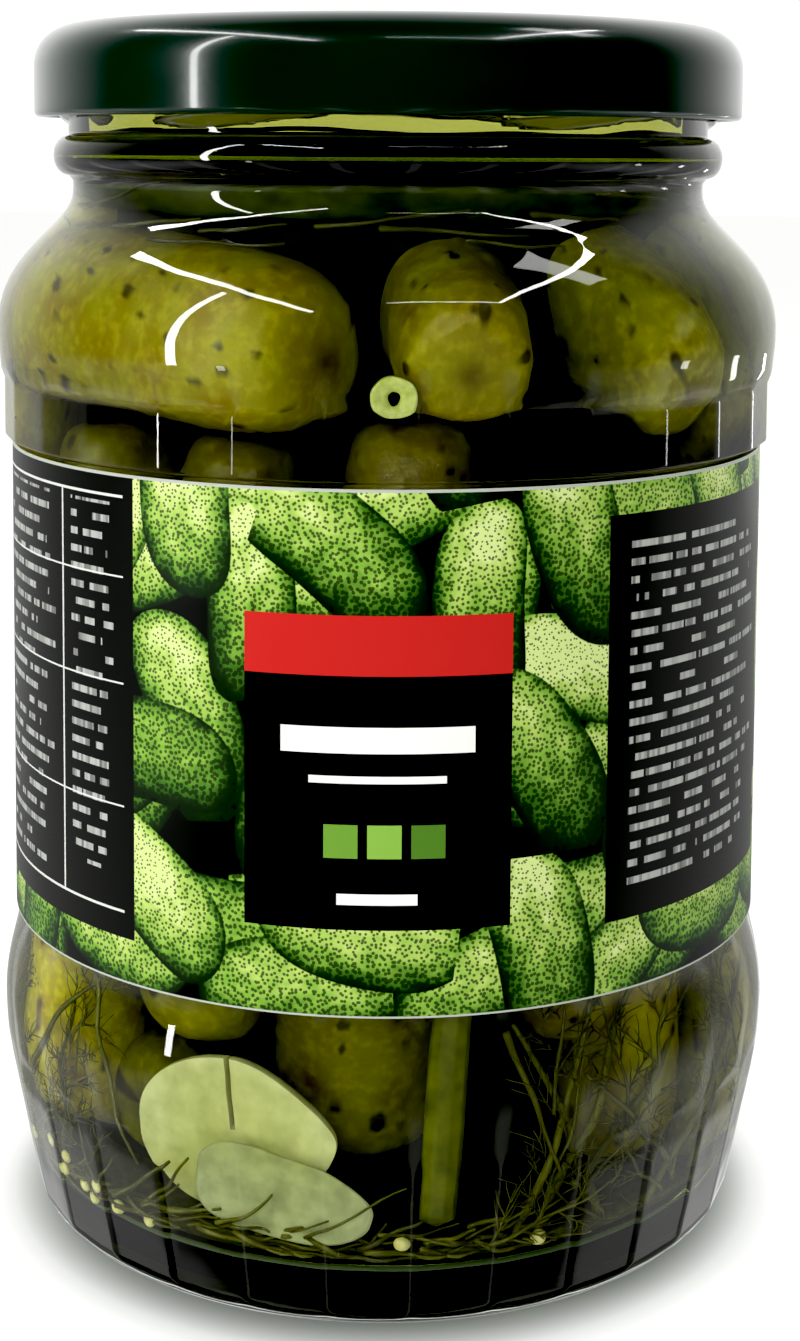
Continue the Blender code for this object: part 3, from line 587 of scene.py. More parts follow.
def plain_flesh(name, low, high, spot_mm, roughness, rise_mm=0.1):
    """Mottled flesh between two colours, with a soft relief. Bare paper is made the same way."""
    material, tree = new_material(name)
    place = node(tree, "ShaderNodeTexCoord").outputs["Object"]
    mottle = node(tree, "ShaderNodeTexNoise", {"Vector": place, "Scale": 1.0 / (spot_mm * MM), "Detail": 4.0})
    spread = node(tree, "ShaderNodeMapRange", {0: mottle, 1: 0.3, 2: 0.7})
    tone = node(tree, "ShaderNodeMix", {0: spread, 6: colour(low), 7: colour(high)}, data_type="RGBA")
    bump = node(tree, "ShaderNodeBump", {"Height": mottle, "Strength": 0.4, "Distance": rise_mm * MM})
    body = node(tree, "ShaderNodeBsdfPrincipled", {
        "Base Color": tone, "Roughness": roughness, "Normal": bump})
    node(tree, "ShaderNodeOutputMaterial", {"Surface": body})
    return material


def brined_dill():
    """Dill that has lain in brine: limp and dark olive, with a tone of its own for each thread."""
    material, tree = new_material("brined_dill")
    mottle_mm = 1.43
    tone = node(tree, "ShaderNodeAttribute", attribute_name="tone").outputs["Fac"]
    place = node(tree, "ShaderNodeTexCoord").outputs["Object"]
    mottle = node(tree, "ShaderNodeTexNoise", {
        "Vector": place, "Scale": 1.0 / (mottle_mm * MM), "Detail": 2.0})
    green = node(tree, "ShaderNodeMix", {0: tone, 6: colour("1c1e08"), 7: colour("6c6a24")}, data_type="RGBA")
    mixed = node(tree, "ShaderNodeMix", {0: mottle, 6: green, 7: colour("3a3610")}, data_type="RGBA")
    body = node(tree, "ShaderNodeBsdfPrincipled", {"Base Color": mixed, "Roughness": 0.45})
    node(tree, "ShaderNodeOutputMaterial", {"Surface": body})
    return material


# Pieces.

def thread_rise(radius, height, azimuth):
    """How far the threads stand out of the finish."""
    rise = np.zeros_like(radius)
    degrees = np.degrees(azimuth)
    for index in range(THREADS):
        start = THREAD_START + index * 360.0 / THREADS
        along = ((start - degrees) % 360.0) / THREAD_SWEEP
        centre = THREAD_TOP - THREAD_DROP * along
        fade = np.clip(0.35 + np.minimum(along, 1.0 - along) / THREAD_FADE, 0.0, 1.0)
        fade = np.where(along <= 1.0, fade, 0.0)
        off = np.clip(np.abs(height - centre) / (THREAD_RADIUS * np.maximum(fade, 0.01)), 0.0, 1.0)
        rise = np.maximum(rise, THREAD_RADIUS * fade * (1.0 - off ** 2) ** 0.75)
    return np.where((height > LID_BOTTOM - 0.0022) & (height < RIM_TOP - 0.003), rise, 0.0)


def flats(height, azimuth, corners):
    """Radius of a ring of flat sides with rounded borders, from its (flat radius, height) corners."""
    rows = np.array(corners[::-1])
    flat = np.interp(height, rows[:, 1], rows[:, 0])
    side = 360.0 / FACETS
    off = (np.degrees(azimuth) - FACET_TURN + side / 2) % side - side / 2
    radius = flat / np.cos(np.radians(off))
    near = np.maximum(FACET_ROUND - (side / 2 - np.abs(off)), 0.0)
    slope = flat * math.radians(1.0) * math.tan(math.radians(side / 2))
    radius = radius - slope * near ** 2 / (2 * FACET_ROUND)
    return np.where((height >= rows[0, 1]) & (height <= rows[-1, 1]), radius, 1.0)


def soft_minimum(a, b, blend):
    """Lesser of two radii with a small round where they cross."""
    h = np.clip(0.5 + 0.5 * (b - a) / blend, 0.0, 1.0)
    return b * (1 - h) + a * h - blend * h * (1 - h)


def jar_relief(radius, height, azimuth):
    """Threads, facets, seams and knurls on the outside, and blown waves on the inside."""
    count = len(outer_outline())
    outer = np.zeros(radius.shape, bool)
    outer[:count] = True
    azimuth = azimuth + np.zeros_like(radius)
    shaped = radius + thread_rise(radius, height, azimuth)
    band = FACET_BAND_RADIUS - 0.0003
    upper = [(band + 0.0016, 0.1046), (band, 0.1006), (band, PANEL[1] + 0.0003)]
    lower = [(0.0474, 0.0244), (0.0464, 0.0208), (0.0458, 0.0172), (0.0438, 0.0070), (0.0426, 0.0012)]
    for corners in (upper, lower):
        shaped = soft_minimum(shaped, flats(height, azimuth, corners), FACET_BLEND)
    for seam in SEAM_AZIMUTHS:
        off = (np.degrees(azimuth) - seam + 180.0) % 360.0 - 180.0
        shaped = shaped + SEAM_PROUD * np.exp(-(off / 0.7) ** 2) * (height > 0.004) * (height < 0.123)
    on_ring = np.exp(-((radius - BEARING_RADIUS + BEARING_WIDTH * 0.3) / (BEARING_WIDTH * 0.5)) ** 2)
    knurl = KNURL_DEPTH * (0.5 - 0.5 * np.cos(KNURLS * azimuth)) * on_ring * (height < 0.001)
    shaped = np.minimum(shaped, CAD_BOX[1][0])
    inside = radius + glass_waves(azimuth, height) * smooth_step(0.0, 0.02, radius)
    waved_height = height + np.where(outer, knurl, 0.0)
    axis = radius < 0.0000001
    return np.where(axis, 0.0, np.where(outer, shaped, inside)), waved_height


def make_glass():
    """The jar's glass, outside and inside in one skin."""
    rim = (MOUTH_RADIUS + RIM_HALF_WIDTH, RIM_TOP - RIM_HALF_WIDTH)
    over_rim = arc(rim, (RIM_HALF_WIDTH, RIM_HALF_WIDTH), 90, 180, 6)[1:-1]
    outline = outer_outline()[::-1] + over_rim + inner_outline()
    count = len(outer_outline())

    def relief(radius, height, azimuth):
        order = np.r_[np.arange(count)[::-1], np.arange(count, len(radius))]
        shaped, raised = jar_relief(radius[order], height[order], azimuth)
        return shaped[order], raised[order]

    azimuths = [FACET_TURN + index * 360.0 / FACETS + step for index in range(FACETS) for step in FACET_STEPS]
    glass = turned("glass_jar", outline, np.array(azimuths), relief)
    glass.data.materials.append(blown_soda_lime_glass())
    glass.data.materials.append(wetted_glass_wall("wetted_glass_wall", "fbfdf9"))
    # Painted light: a yellow tint on the glass above the liquid, for light that has come through brine.
    glass.data.materials.append(wetted_glass_wall("glass_tinted_as_painted_light", "dcdc9e"))
    for face in glass.data.polygons:
        height = face.center.z
        inner = face.center.xy.length < wall_radius(height) + WALL / 4
        if inner and FLOOR_HEIGHT < height + 0.0002 and height < FILM_TOP:
            face.material_index = 1 if height < BRINE_TOP else 2
    return finish(glass, "glass", "jar")


def make_brine():
    """The liquid: it reaches just into the wall, and climbs it a little at the surface."""
    inner = np.array(inner_outline())
    steps = np.gradient(inner, axis=0)
    normals = np.stack([-steps[:, 1], steps[:, 0]], axis=1)
    normals /= np.linalg.norm(normals, axis=1)[:, None]
    pushed = inner + normals * INTO_WALL
    pushed[-1, 0] = 0.0
    below = [tuple(p) for p in pushed if p[1] < BRINE_TOP - 0.0005]
    edge = float(wall_radius(BRINE_TOP))
    surface = [(0.0, BRINE_TOP), (edge - 0.0060, BRINE_TOP)]
    surface += curve(surface[-1], (edge - 0.0020, BRINE_TOP), (edge, BRINE_TOP + MENISCUS * 0.2),
                     (edge + INTO_WALL, BRINE_TOP + MENISCUS), 8)

    def relief(radius, height, azimuth):
        waves = glass_waves(azimuth, height) * smooth_step(0.0, 0.02, radius)
        waves = np.where(height < BRINE_TOP - 0.0004, waves, waves * smooth_step(edge - 0.004, edge, radius))
        return np.where(radius < 0.0000001, 0.0, radius + waves), height

    brine = turned("brine", surface + below, BRINE_STEPS, relief)
    brine.data.materials.append(vinegar_brine())
    return finish(brine, "")


def lid_sections():
    """Section of the lid: over the top, down the skirt, round the curl and back inside."""
    panel = LID_TOP - LID_PANEL_DROP
    shoulder = LID_TOP - LID_SHOULDER
    inside = LID_RADIUS - LID_SHEET
    under = LID_TOP - LID_SHEET
    top = [(0.0, panel + BUTTON_RISE)]
    top += line(top[-1], (BUTTON_RADIUS * 0.8, panel + BUTTON_RISE), 3)
    top += curve(top[-1], (BUTTON_RADIUS * 0.95, panel + BUTTON_RISE), (BUTTON_RADIUS, panel),
                 (BUTTON_RADIUS * 1.12, panel), 6)
    top += line(top[-1], (LID_PANEL_RADIUS, panel), 3)
    top += curve(top[-1], (LID_PANEL_RADIUS + 0.0012, panel), (LID_RING_INNER - 0.0012, LID_TOP - 0.0001),
                 (LID_RING_INNER, LID_TOP), 7)
    top += line(top[-1], (LID_RING_OUTER, LID_TOP), 3)
    top += curve(top[-1], (LID_RING_OUTER + 0.0028, LID_TOP - 0.0002), (LID_RADIUS, LID_TOP - 0.0020),
                 (LID_RADIUS, shoulder), 16)
    top += line(top[-1], (LID_RADIUS, LID_BOTTOM + CURL_RADIUS), 5)
    curl_centre = (LID_RADIUS - CURL_RADIUS, LID_BOTTOM + CURL_RADIUS)
    curl = arc(curl_centre, (CURL_RADIUS, CURL_RADIUS), 0, -180, 10)[1:]
    lining = [(LID_RADIUS - 2 * CURL_RADIUS, LID_BOTTOM + 0.0012), (inside, LID_BOTTOM + 0.0020)]
    lining += line(lining[-1], (inside, shoulder), 4)
    lining += curve(lining[-1], (inside, shoulder + 0.0020), (LID_RING_OUTER + 0.0026, under - 0.0004),
                    (LID_RING_OUTER, under), 8)
    lining += line(lining[-1], (LID_RING_INNER + 0.0004, under), 3)
    low = panel - LID_SHEET
    lining += curve(lining[-1], (LID_RING_INNER - 0.0010, under), (LID_PANEL_RADIUS + 0.0020, low),
                    (LID_PANEL_RADIUS + 0.0008, low), 5)
    lining += line(lining[-1], (0.0, low), 4)
    return top, curl, lining


def make_lid():
    """Pressed lid with its ring, button, curl and the six lugs that the curl is pinched into."""
    top, curl, lining = lid_sections()
    first, last = len(top) + len(curl) // 2, len(top) + len(curl) + 1

    def relief(radius, height, azimuth):
        pinch = np.zeros_like(azimuth)
        for index in range(THREADS):
            middle = index * 360.0 / THREADS
            off = np.abs((np.degrees(azimuth) - middle + 180.0) % 360.0 - 180.0)
            pinch = np.maximum(pinch, 1.0 - smooth_step(LUG_SWEEP * 0.38, LUG_SWEEP * 0.5, off))
        rows = np.zeros(len(radius))
        rows[first:last] = np.sin(np.linspace(0.0, math.pi, last - first))
        return radius - (radius - LUG_REACH) * pinch * rows[:, None], height

    lid = turned("lacquered_lid", top + curl + lining, LID_STEPS, relief)
    lid.data.materials.append(lacquered_tinplate())
    lid.data.materials.append(golden_lid_lacquer())
    inside = LID_RADIUS - LID_SHEET - 0.0001
    for face in lid.data.polygons:
        middle = face.center
        reach = math.hypot(middle.x, middle.y)
        low = middle.z < LID_TOP - LID_PANEL_DROP - LID_SHEET * 0.4
        inner = face.normal.z < -0.2 and low and reach < LID_RING_INNER
        if inner or (reach < inside + 0.0002 and middle.z > LID_BOTTOM + 0.0022 and face.normal.z < 0.3
                     and face.normal.xy.dot(middle.xy) < 0.0001):
            face.material_index = 1
    return finish(lid, "lacquered_steel", "lid")


def make_floor():
    """Pale table that glows bright as in an overexposed picture, with a painted shadow of the jar,
    painted green in its middle as light that has come through the glass.
    """
    bpy.ops.mesh.primitive_plane_add(size=8.0, location=(0.0, 0.0, 0.0))
    floor = bpy.context.object
    floor.name = "floor"
    material, tree = new_material("pale_table")
    place = node(tree, "ShaderNodeTexCoord").outputs["Object"]
    reach = node(tree, "ShaderNodeVectorMath", {0: place}, operation="LENGTH")
    # Painted shadow: the glow falls off under the jar, and its colour turns green there as painted light
    # through the glass.
    glow = node(tree, "ShaderNodeMapRange", {0: reach, 1: 0.038, 2: 0.051, 3: 0.14, 4: 0.80},
                interpolation_type="SMOOTHSTEP")
    open_light = node(tree, "ShaderNodeMapRange", {0: reach, 1: 0.036, 2: 0.046})
    hue = node(tree, "ShaderNodeMix", {0: open_light, 6: colour("1f5a33"), 7: colour("fbfcfa")},
               data_type="RGBA")
    body = node(tree, "ShaderNodeBsdfPrincipled", {
        "Base Color": colour("8e8e8c"), "Roughness": 0.8, "Specular IOR Level": 0.0,
        "Emission Color": hue, "Emission Strength": glow})
    node(tree, "ShaderNodeOutputMaterial", {"Surface": body})
    floor.data.materials.append(material)
    floor.visible_glossy = False


class Skins:
    """Points, faces and point values gathered into one joined mesh."""

    def __init__(self, *values):
        self.points, self.faces, self.count = [], [], 0
        self.values = {name: [] for name in values}

    def add(self, points, faces, **values):
        """Adds one closed skin. A value is one number for it all, or one for each point."""
        self.points.append(np.asarray(points, float))
        self.faces += [tuple(self.count + i for i in face) for face in faces]
        self.count += len(points)
        for name, value in values.items():
            self.values[name].append(np.broadcast_to(np.asarray(value, float), (len(points),)))

    def build(self, name, material):
        """Makes the joined mesh."""
        mesh = bpy.data.meshes.new(name)
        mesh.from_pydata(np.concatenate(self.points).tolist(), [], self.faces)
        for key, value in self.values.items():
            attribute = mesh.attributes.new(key, "FLOAT", "POINT")
            attribute.data.foreach_set("value", np.concatenate(value).astype(np.float32))
        mesh.shade_smooth()
        mesh.materials.append(material)
        piece = bpy.data.objects.new(name, mesh)
        bpy.context.scene.collection.objects.link(piece)
        return piece


def tube_faces(rows, sides):
    """Faces of rows of points closed by a pole at each end, which come first and last."""
    faces = [(0, 1 + (j + 1) % sides, 1 + j) for j in range(sides)]
    for i in range(rows - 1):
        for j in range(sides):
            a, b = 1 + i * sides + j, 1 + i * sides + (j + 1) % sides
            faces.append((a, b, b + sides, a + sides))
    last = 1 + (rows - 1) * sides
    faces += [(last + sides, last + j, last + (j + 1) % sides) for j in range(sides)]
    return faces


def gherkin_skin(length, width, bend, sides, rings, draw):
    """Points of one gherkin along Z, from its low pole, with its warts and tips."""
    turns = np.pi * (np.arange(1, rings) / rings)
    t = -np.cos(turns)[:, None]
    around = (2 * np.pi * np.arange(sides) / sides)[None, :]
    girth = width / 2 * (1.0 - np.abs(t) ** 3.2) ** 0.5 * (1.0 - 0.06 * t)
    along = length / 2 * np.sin(t * np.pi / 2)
    lobes = 0.018 * np.cos(3 * around + draw.uniform(0, 6)) + 0.012 * np.cos(2 * around + draw.uniform(0, 6))
    swell = 0.02 * np.sin(along / length * 7.0 + draw.uniform(0, 6))
    radius = girth * (1.0 + lobes * (1 - t ** 2) + swell)
    warts = np.zeros((rings - 1, sides))
    rise = np.zeros((rings - 1, sides))
    spacing = 0.0034
    rows = max(3, int(length / spacing))
    for row in range(rows):
        z = -length / 2 + length * (row + 0.5) / rows
        here = width / 2 * math.sqrt(max(0.05, 1.0 - abs(2 * z / length) ** 3.2))
        columns = max(3, int(2 * math.pi * here / spacing))
        for column in range(columns):
            angle = 2 * math.pi * (column + draw.uniform(0.1, 0.9)) / columns
            spot = z + draw.uniform(-0.4, 0.4) * spacing
            reach = draw.uniform(0.0007, 0.0014)
            high = draw.uniform(0.0001, 0.0005)
            dark = draw.uniform(0.2, 1.0)
            turn = (around - angle + np.pi) % (2 * np.pi) - np.pi
            off = (turn * np.maximum(girth, here * 0.5)) ** 2 + (along - spot) ** 2
            field = np.exp(-off / reach ** 2)
            rise = np.maximum(rise, high * field)
            warts = np.maximum(warts, dark * np.exp(-off / (reach * 0.75) ** 2))
    radius = radius + rise * (1.0 - np.abs(t) ** 6)
    x = radius * np.cos(around) + bend * (0.5 - t ** 2)
    y = radius * np.sin(around)
    z = along + np.zeros_like(x)
    ring = np.stack([x, y, z], axis=2).reshape(-1, 3)
    poles = [(-bend / 2, 0.0, -length / 2 * 0.985), (-bend / 2, 0.0, length / 2 * 0.985)]
    points = np.concatenate([poles[:1], ring, poles[1:]])
    tip = np.exp(-((1.0 - np.abs(t)) / 0.02)) + np.zeros_like(x)
    return points, np.r_[0.0, warts.ravel(), 0.0], np.r_[1.0, tip.ravel(), 1.0]


def slid_to_wall(points, azimuth, height, turn, gap):
    """Points moved inwards along an azimuth until they clear the wall."""
    turned_points = points @ np.array(turn.to_3x3()).T
    out = np.array(outwards(azimuth).to_3x3())
    radius = INNER_UPPER_BULGE[0]
    while radius > 0.010:
        placed = (turned_points + np.array([radius, 0.0, height])) @ out.T
        reach = np.hypot(placed[:, 0], placed[:, 1])
        if np.all(reach <= wall_radius(placed[:, 2]) - gap):
            break
        radius -= 0.0002
    return placed


def row_gherkins():
    """Gherkins of the two layers that go on round the back, each a little different."""
    draw = random.Random(ROW_SEED)
    spots = []
    rows = ((UPPER_ROW, UPPER_ROW_HEIGHT, 10.0), (LOWER_ROW, LOWER_ROW_HEIGHT, 2.0))
    for azimuths, height, inwards in rows:
        for azimuth in azimuths:
            length = ROW_LENGTH * draw.uniform(0.92, 1.06)
            width = ROW_WIDTH * draw.uniform(0.94, 1.08)
            roll = draw.uniform(-9.0, 9.0)
            lean = inwards + draw.uniform(-2.0, 3.0)
            middle = height + draw.uniform(-0.002, 0.002)
            spots.append((azimuth, middle, roll, lean, length, width, 0.001, 0.0))
    return spots


def make_gherkins():
    """All gherkins of the heap: finer ones in front, and the rows that go on round the back."""
    draw = random.Random(SEED)
    skins = Skins("wart", "tone", "tip", "shade")
    placed = [(spot, 72, 60) for spot in FRONT_GHERKINS] + [(spot, 44, 40) for spot in row_gherkins()]
    shades = FRONT_SHADES + (ROW_SHADE,) * (len(placed) - len(FRONT_SHADES))
    for (spot, sides, rings), shade in zip(placed, shades):
        azimuth, height, roll, lean, length, width, bend, off_wall = spot
        points, warts, tips = gherkin_skin(length, width, bend, sides, rings, draw)
        turn = Matrix.Rotation(math.radians(roll), 4, "X") @ Matrix.Rotation(math.radians(-lean), 4, "Y")
        points = slid_to_wall(points, azimuth, height, turn, CONTENTS_GAP + off_wall)
        tone = draw.uniform(0.25, 0.95)
        skins.add(points, tube_faces(rings - 1, sides), wart=warts, tone=tone, tip=tips, shade=shade)
    piece = skins.build("gherkins", cured_gherkin_skin())
    return finish(piece, "gherkin", "pickles")


def make_core():
    """Middle of the heap, the bed under it and the mat of dill in the neck, dark between the gherkins
    as painted shade.
    """
    bed_r, bed_foot, bed_top = BED
    mat_r, mat_foot, mat_top = DILL_MAT
    outline = [(0.0, mat_top)] + line((0.0, mat_top), (mat_r * 0.9, mat_top), 8)
    outline += line(outline[-1], (mat_r, mat_top - 0.0012), 2)
    outline += line(outline[-1], (mat_r - 0.0016, mat_foot), 5)
    outline += line(outline[-1], (CORE_RADIUS, mat_foot - 0.0010), 3)
    outline += line(outline[-1], (CORE_RADIUS, CORE_FOOT), 40)
    outline += [(bed_r - 0.0025, bed_top + 0.0010), (bed_r, bed_top), (bed_r, bed_top - 0.001)]
    outline += [(bed_r - 0.0035, bed_foot + 0.0002), (bed_r - 0.0075, FLOOR_CROWN + 0.0005),
                (0.0, FLOOR_CROWN + 0.0008)]

    def relief(radius, height, azimuth):
        lumps = np.sin(9 * azimuth + 90 * height) * np.sin(4 * azimuth - 260 * height + 0.6)
        inner = smooth_step(0.002, 0.012, radius)
        return radius + 0.0010 * lumps * inner * (height > bed_top), height

    core = turned("heap_core", outline, CORE_STEPS, relief)
    # Painted shade: the core is dull and nearly black, for the shade between the gherkins. Then a bed
    # and a mat of packed dill: olive threads, darkened as painted shade.
    core.data.materials.append(plain_flesh("heap_core_painted_shade", "050602", "121405", 4.0, 0.7))
    core.data.materials.append(plain_flesh("matted_dill_bed", "17180a", "4c4a1a", 1.4, 0.6, 0.3))
    core.data.materials.append(plain_flesh("floating_dill_mat", "0a0e05", "30380f", 2.6, 0.6, 0.3))
    for face in core.data.polygons:
        height = face.center.z
        face.material_index = 1 if height < bed_top + 0.0035 else 2 if height > mat_foot - 0.0005 else 0
    return finish(core, "gherkin", "pickles")


def clove_side(around, pointed, blunt):
    """Side of a clove at an angle from its right end, for half sizes of one."""
    across, up = math.cos(around), math.sin(around)
    across = math.copysign(abs(across) ** blunt, across)
    up = math.copysign(abs(up) ** blunt, up) * (1.0 - pointed * max(across, 0.0) ** 2)
    return across, up


def make_garlic():
    """Two halves of garlic cloves, cut faces towards the glass."""
    # Painted shade: the lower half's flesh is darker than the upper's.
    tones = {"garlic_half_upper": ("c6c4ae", "e8e3d4"), "garlic_half_lower": ("92957c", "b9ba9e")}
    rings, face_rings, sides = 24, 20, 72
    for name, values in GARLIC.items():
        azimuth, height, radius, lean, turn, half_width, half_height, thick, pointed, blunt = values
        rim = []
        for j in range(sides):
            around = 2 * math.pi * j / sides
            across, up = clove_side(around, pointed, blunt)
            lump = 1.0 + 0.018 * math.sin(3 * around + 1.0) + 0.010 * math.sin(5 * around)
            rim.append((half_width * across * lump, half_height * up * lump))
        points, faces = [], []
        for i in range(rings + 1):
            angle = i / rings * math.pi / 2
            wide = math.cos(angle) ** 0.8
            points += [(-0.0001 - thick * math.sin(angle), y * wide, z * wide) for y, z in rim]
        for i in range(1, face_rings + 1):
            scale = 1.0 - i / face_rings
            crown = 0.00035 * (1.0 - scale ** 2) + 0.00006 * math.sin(14 * scale)
            points += [(crown - 0.0001, y * scale, z * scale) for y, z in rim]
        for i in range(rings):
            for j in range(sides):
                n = (j + 1) % sides
                faces.append((i * sides + j, i * sides + n, (i + 1) * sides + n, (i + 1) * sides + j))
        base = (rings + 1) * sides
        for i in range(face_rings):
            above = 0 if i == 0 else base + (i - 1) * sides
            for j in range(sides):
                n = (j + 1) % sides
                faces.append((above + n, above + j, base + i * sides + j, base + i * sides + n))
        spot = (outwards(azimuth) @ Matrix.Translation((radius, 0.0, height))
                @ Matrix.Rotation(math.radians(-lean), 4, "Y") @ Matrix.Rotation(math.radians(-turn), 4, "X"))
        half = object_of(name + "_flesh", [spot @ Vector(p) for p in points], faces)
        if name == "garlic_half_upper":
            cutter = bmesh.new()
            bmesh.ops.create_cube(cutter, size=1.0)
            bmesh.ops.scale(cutter, verts=cutter.verts, vec=(thick * 3, SLIT_WIDTH, SLIT_DEPTH))
            raised = Matrix.Translation((0.0, 0.0, half_height - SLIT_DEPTH / 2 + 0.001))
            bmesh.ops.transform(cutter, verts=cutter.verts, matrix=spot @ raised)
            mesh = bpy.data.meshes.new("slit")
            cutter.to_mesh(mesh)
            cutter.free()
            slit = bpy.data.objects.new("slit", mesh)
            bpy.context.scene.collection.objects.link(slit)
            cut = half.modifiers.new("Slit", "BOOLEAN")
            cut.operation = "DIFFERENCE"
            cut.object = slit
            bpy.context.view_layer.update()
            shown = half.evaluated_get(bpy.context.evaluated_depsgraph_get())
            half.data = bpy.data.meshes.new_from_object(shown)
            half.modifiers.clear()
            bpy.data.objects.remove(slit, do_unlink=True)
            half.data.set_sharp_from_angle(angle=math.radians(45))
        half.data.materials.clear()
        # Cut flesh: cream in front, smooth and wet; the lower half is greyer, and darker as painted shade.
        half.data.materials.append(plain_flesh("blanched_garlic", *tones[name], 2.5, 0.35, 0.05))
        finish(half, "garlic", name)


def tube(path, radii, sides, flat=1.0, outward=None):
    """Points and faces of a tube along a path, with poles. flat squeezes it along outward."""
    path = np.asarray(path, float)
    steps = np.gradient(path, axis=0)
    steps /= np.linalg.norm(steps, axis=1)[:, None]
    rows = []
    for place, step, radius in zip(path, steps, radii):
        out = np.array([place[0], place[1], 0.0]) if outward is None else np.array(outward)
        out = out - step * (out @ step)
        out /= max(np.linalg.norm(out), 1e-9)
        side = np.cross(step, out)
        for j in range(sides):
            angle = 2 * math.pi * j / sides
            rows.append(place + radius * (math.cos(angle) * side + math.sin(angle) * flat * out))
    first = path[0] - steps[0] * radii[0] * 0.5
    last = path[-1] + steps[-1] * radii[-1] * 0.5
    return np.concatenate([[first], rows, [last]]), tube_faces(len(path), sides)


def make_stalk():
    """Pale strip of stalk, ribbed along its length."""
    foot, top = np.array(round_point(*STALK_FOOT)), np.array(round_point(*STALK_TOP))
    rows, sides = 60, 40
    path = [foot + (top - foot) * i / (rows - 1) for i in range(rows)]
    middle = (foot + top) / 2
    outward = np.array([middle[0], middle[1], 0.0])
    points, faces = tube(path, [STALK_WIDTH / 2] * rows, sides, STALK_THICKNESS / STALK_WIDTH, outward)
    skins = Skins()
    body = points[1:-1].reshape(rows, sides, 3)
    centre = body.mean(axis=1, keepdims=True)
    ribs = 1.0 + 0.035 * np.cos(np.arange(sides) * 2 * np.pi * 9 / sides)[None, :, None]
    sway = 1.0 + 0.05 * np.sin(np.linspace(0, 5, rows))[:, None, None]
    body = centre + (body - centre) * ribs * sway
    points = np.concatenate([points[:1], body.reshape(-1, 3), points[-1:]])
    skins.add(points, faces)
    # Wet olive stalk, mottled like the skins behind it.
    piece = skins.build("stalk_strip", plain_flesh("brined_stalk", "40430f", "68681c", 2.2, 0.4))
    return finish(piece, "stem", "stalk")


def make_stem_ring():
    """Slice of a hollow stem, lying against the glass."""
    half = STEM_RING_THICKNESS / 2
    soft = 0.0003
    outline = [(STEM_RING_RADIUS - soft, half)]
    outline += curve(outline[-1], (STEM_RING_RADIUS, half), (STEM_RING_RADIUS, half),
                     (STEM_RING_RADIUS, half - soft), 3)
    outline += curve((STEM_RING_RADIUS, -half + soft), (STEM_RING_RADIUS, -half), (STEM_RING_RADIUS, -half),
                     (STEM_RING_RADIUS - soft, -half), 3)
    outline += [(STEM_RING_HOLE + soft, -half + 0.0002), (STEM_RING_HOLE, -half + 0.0004),
                (STEM_RING_HOLE, half - 0.0004), (STEM_RING_HOLE + soft, half - 0.0002)]

    def relief(radius, height, azimuth):
        wobble = 1.0 + 0.05 * np.cos(2 * azimuth + 0.4) + 0.02 * np.cos(5 * azimuth)
        return radius * wobble, height

    ring = turned("stem_slice", outline, STEM_RING_STEPS, relief, closed=True)
    azimuth, radius, height = STEM_RING
    face_out = Matrix.Rotation(math.pi / 2, 4, "Y")
    ring.data.transform(outwards(azimuth) @ Matrix.Translation((radius, 0.0, height)) @ face_out)
    # Pale yellow-green pith, finely mottled and wet.
    ring.data.materials.append(plain_flesh("cut_stem", "a7ad58", "cdd08c", 0.8, 0.35))
    return finish(ring, "stem", "stem_ring")


def on_wall(azimuth, height, off):
    """Point a distance off the inner wall."""
    return np.array(round_point(azimuth, float(wall_radius(height)) - off, height))


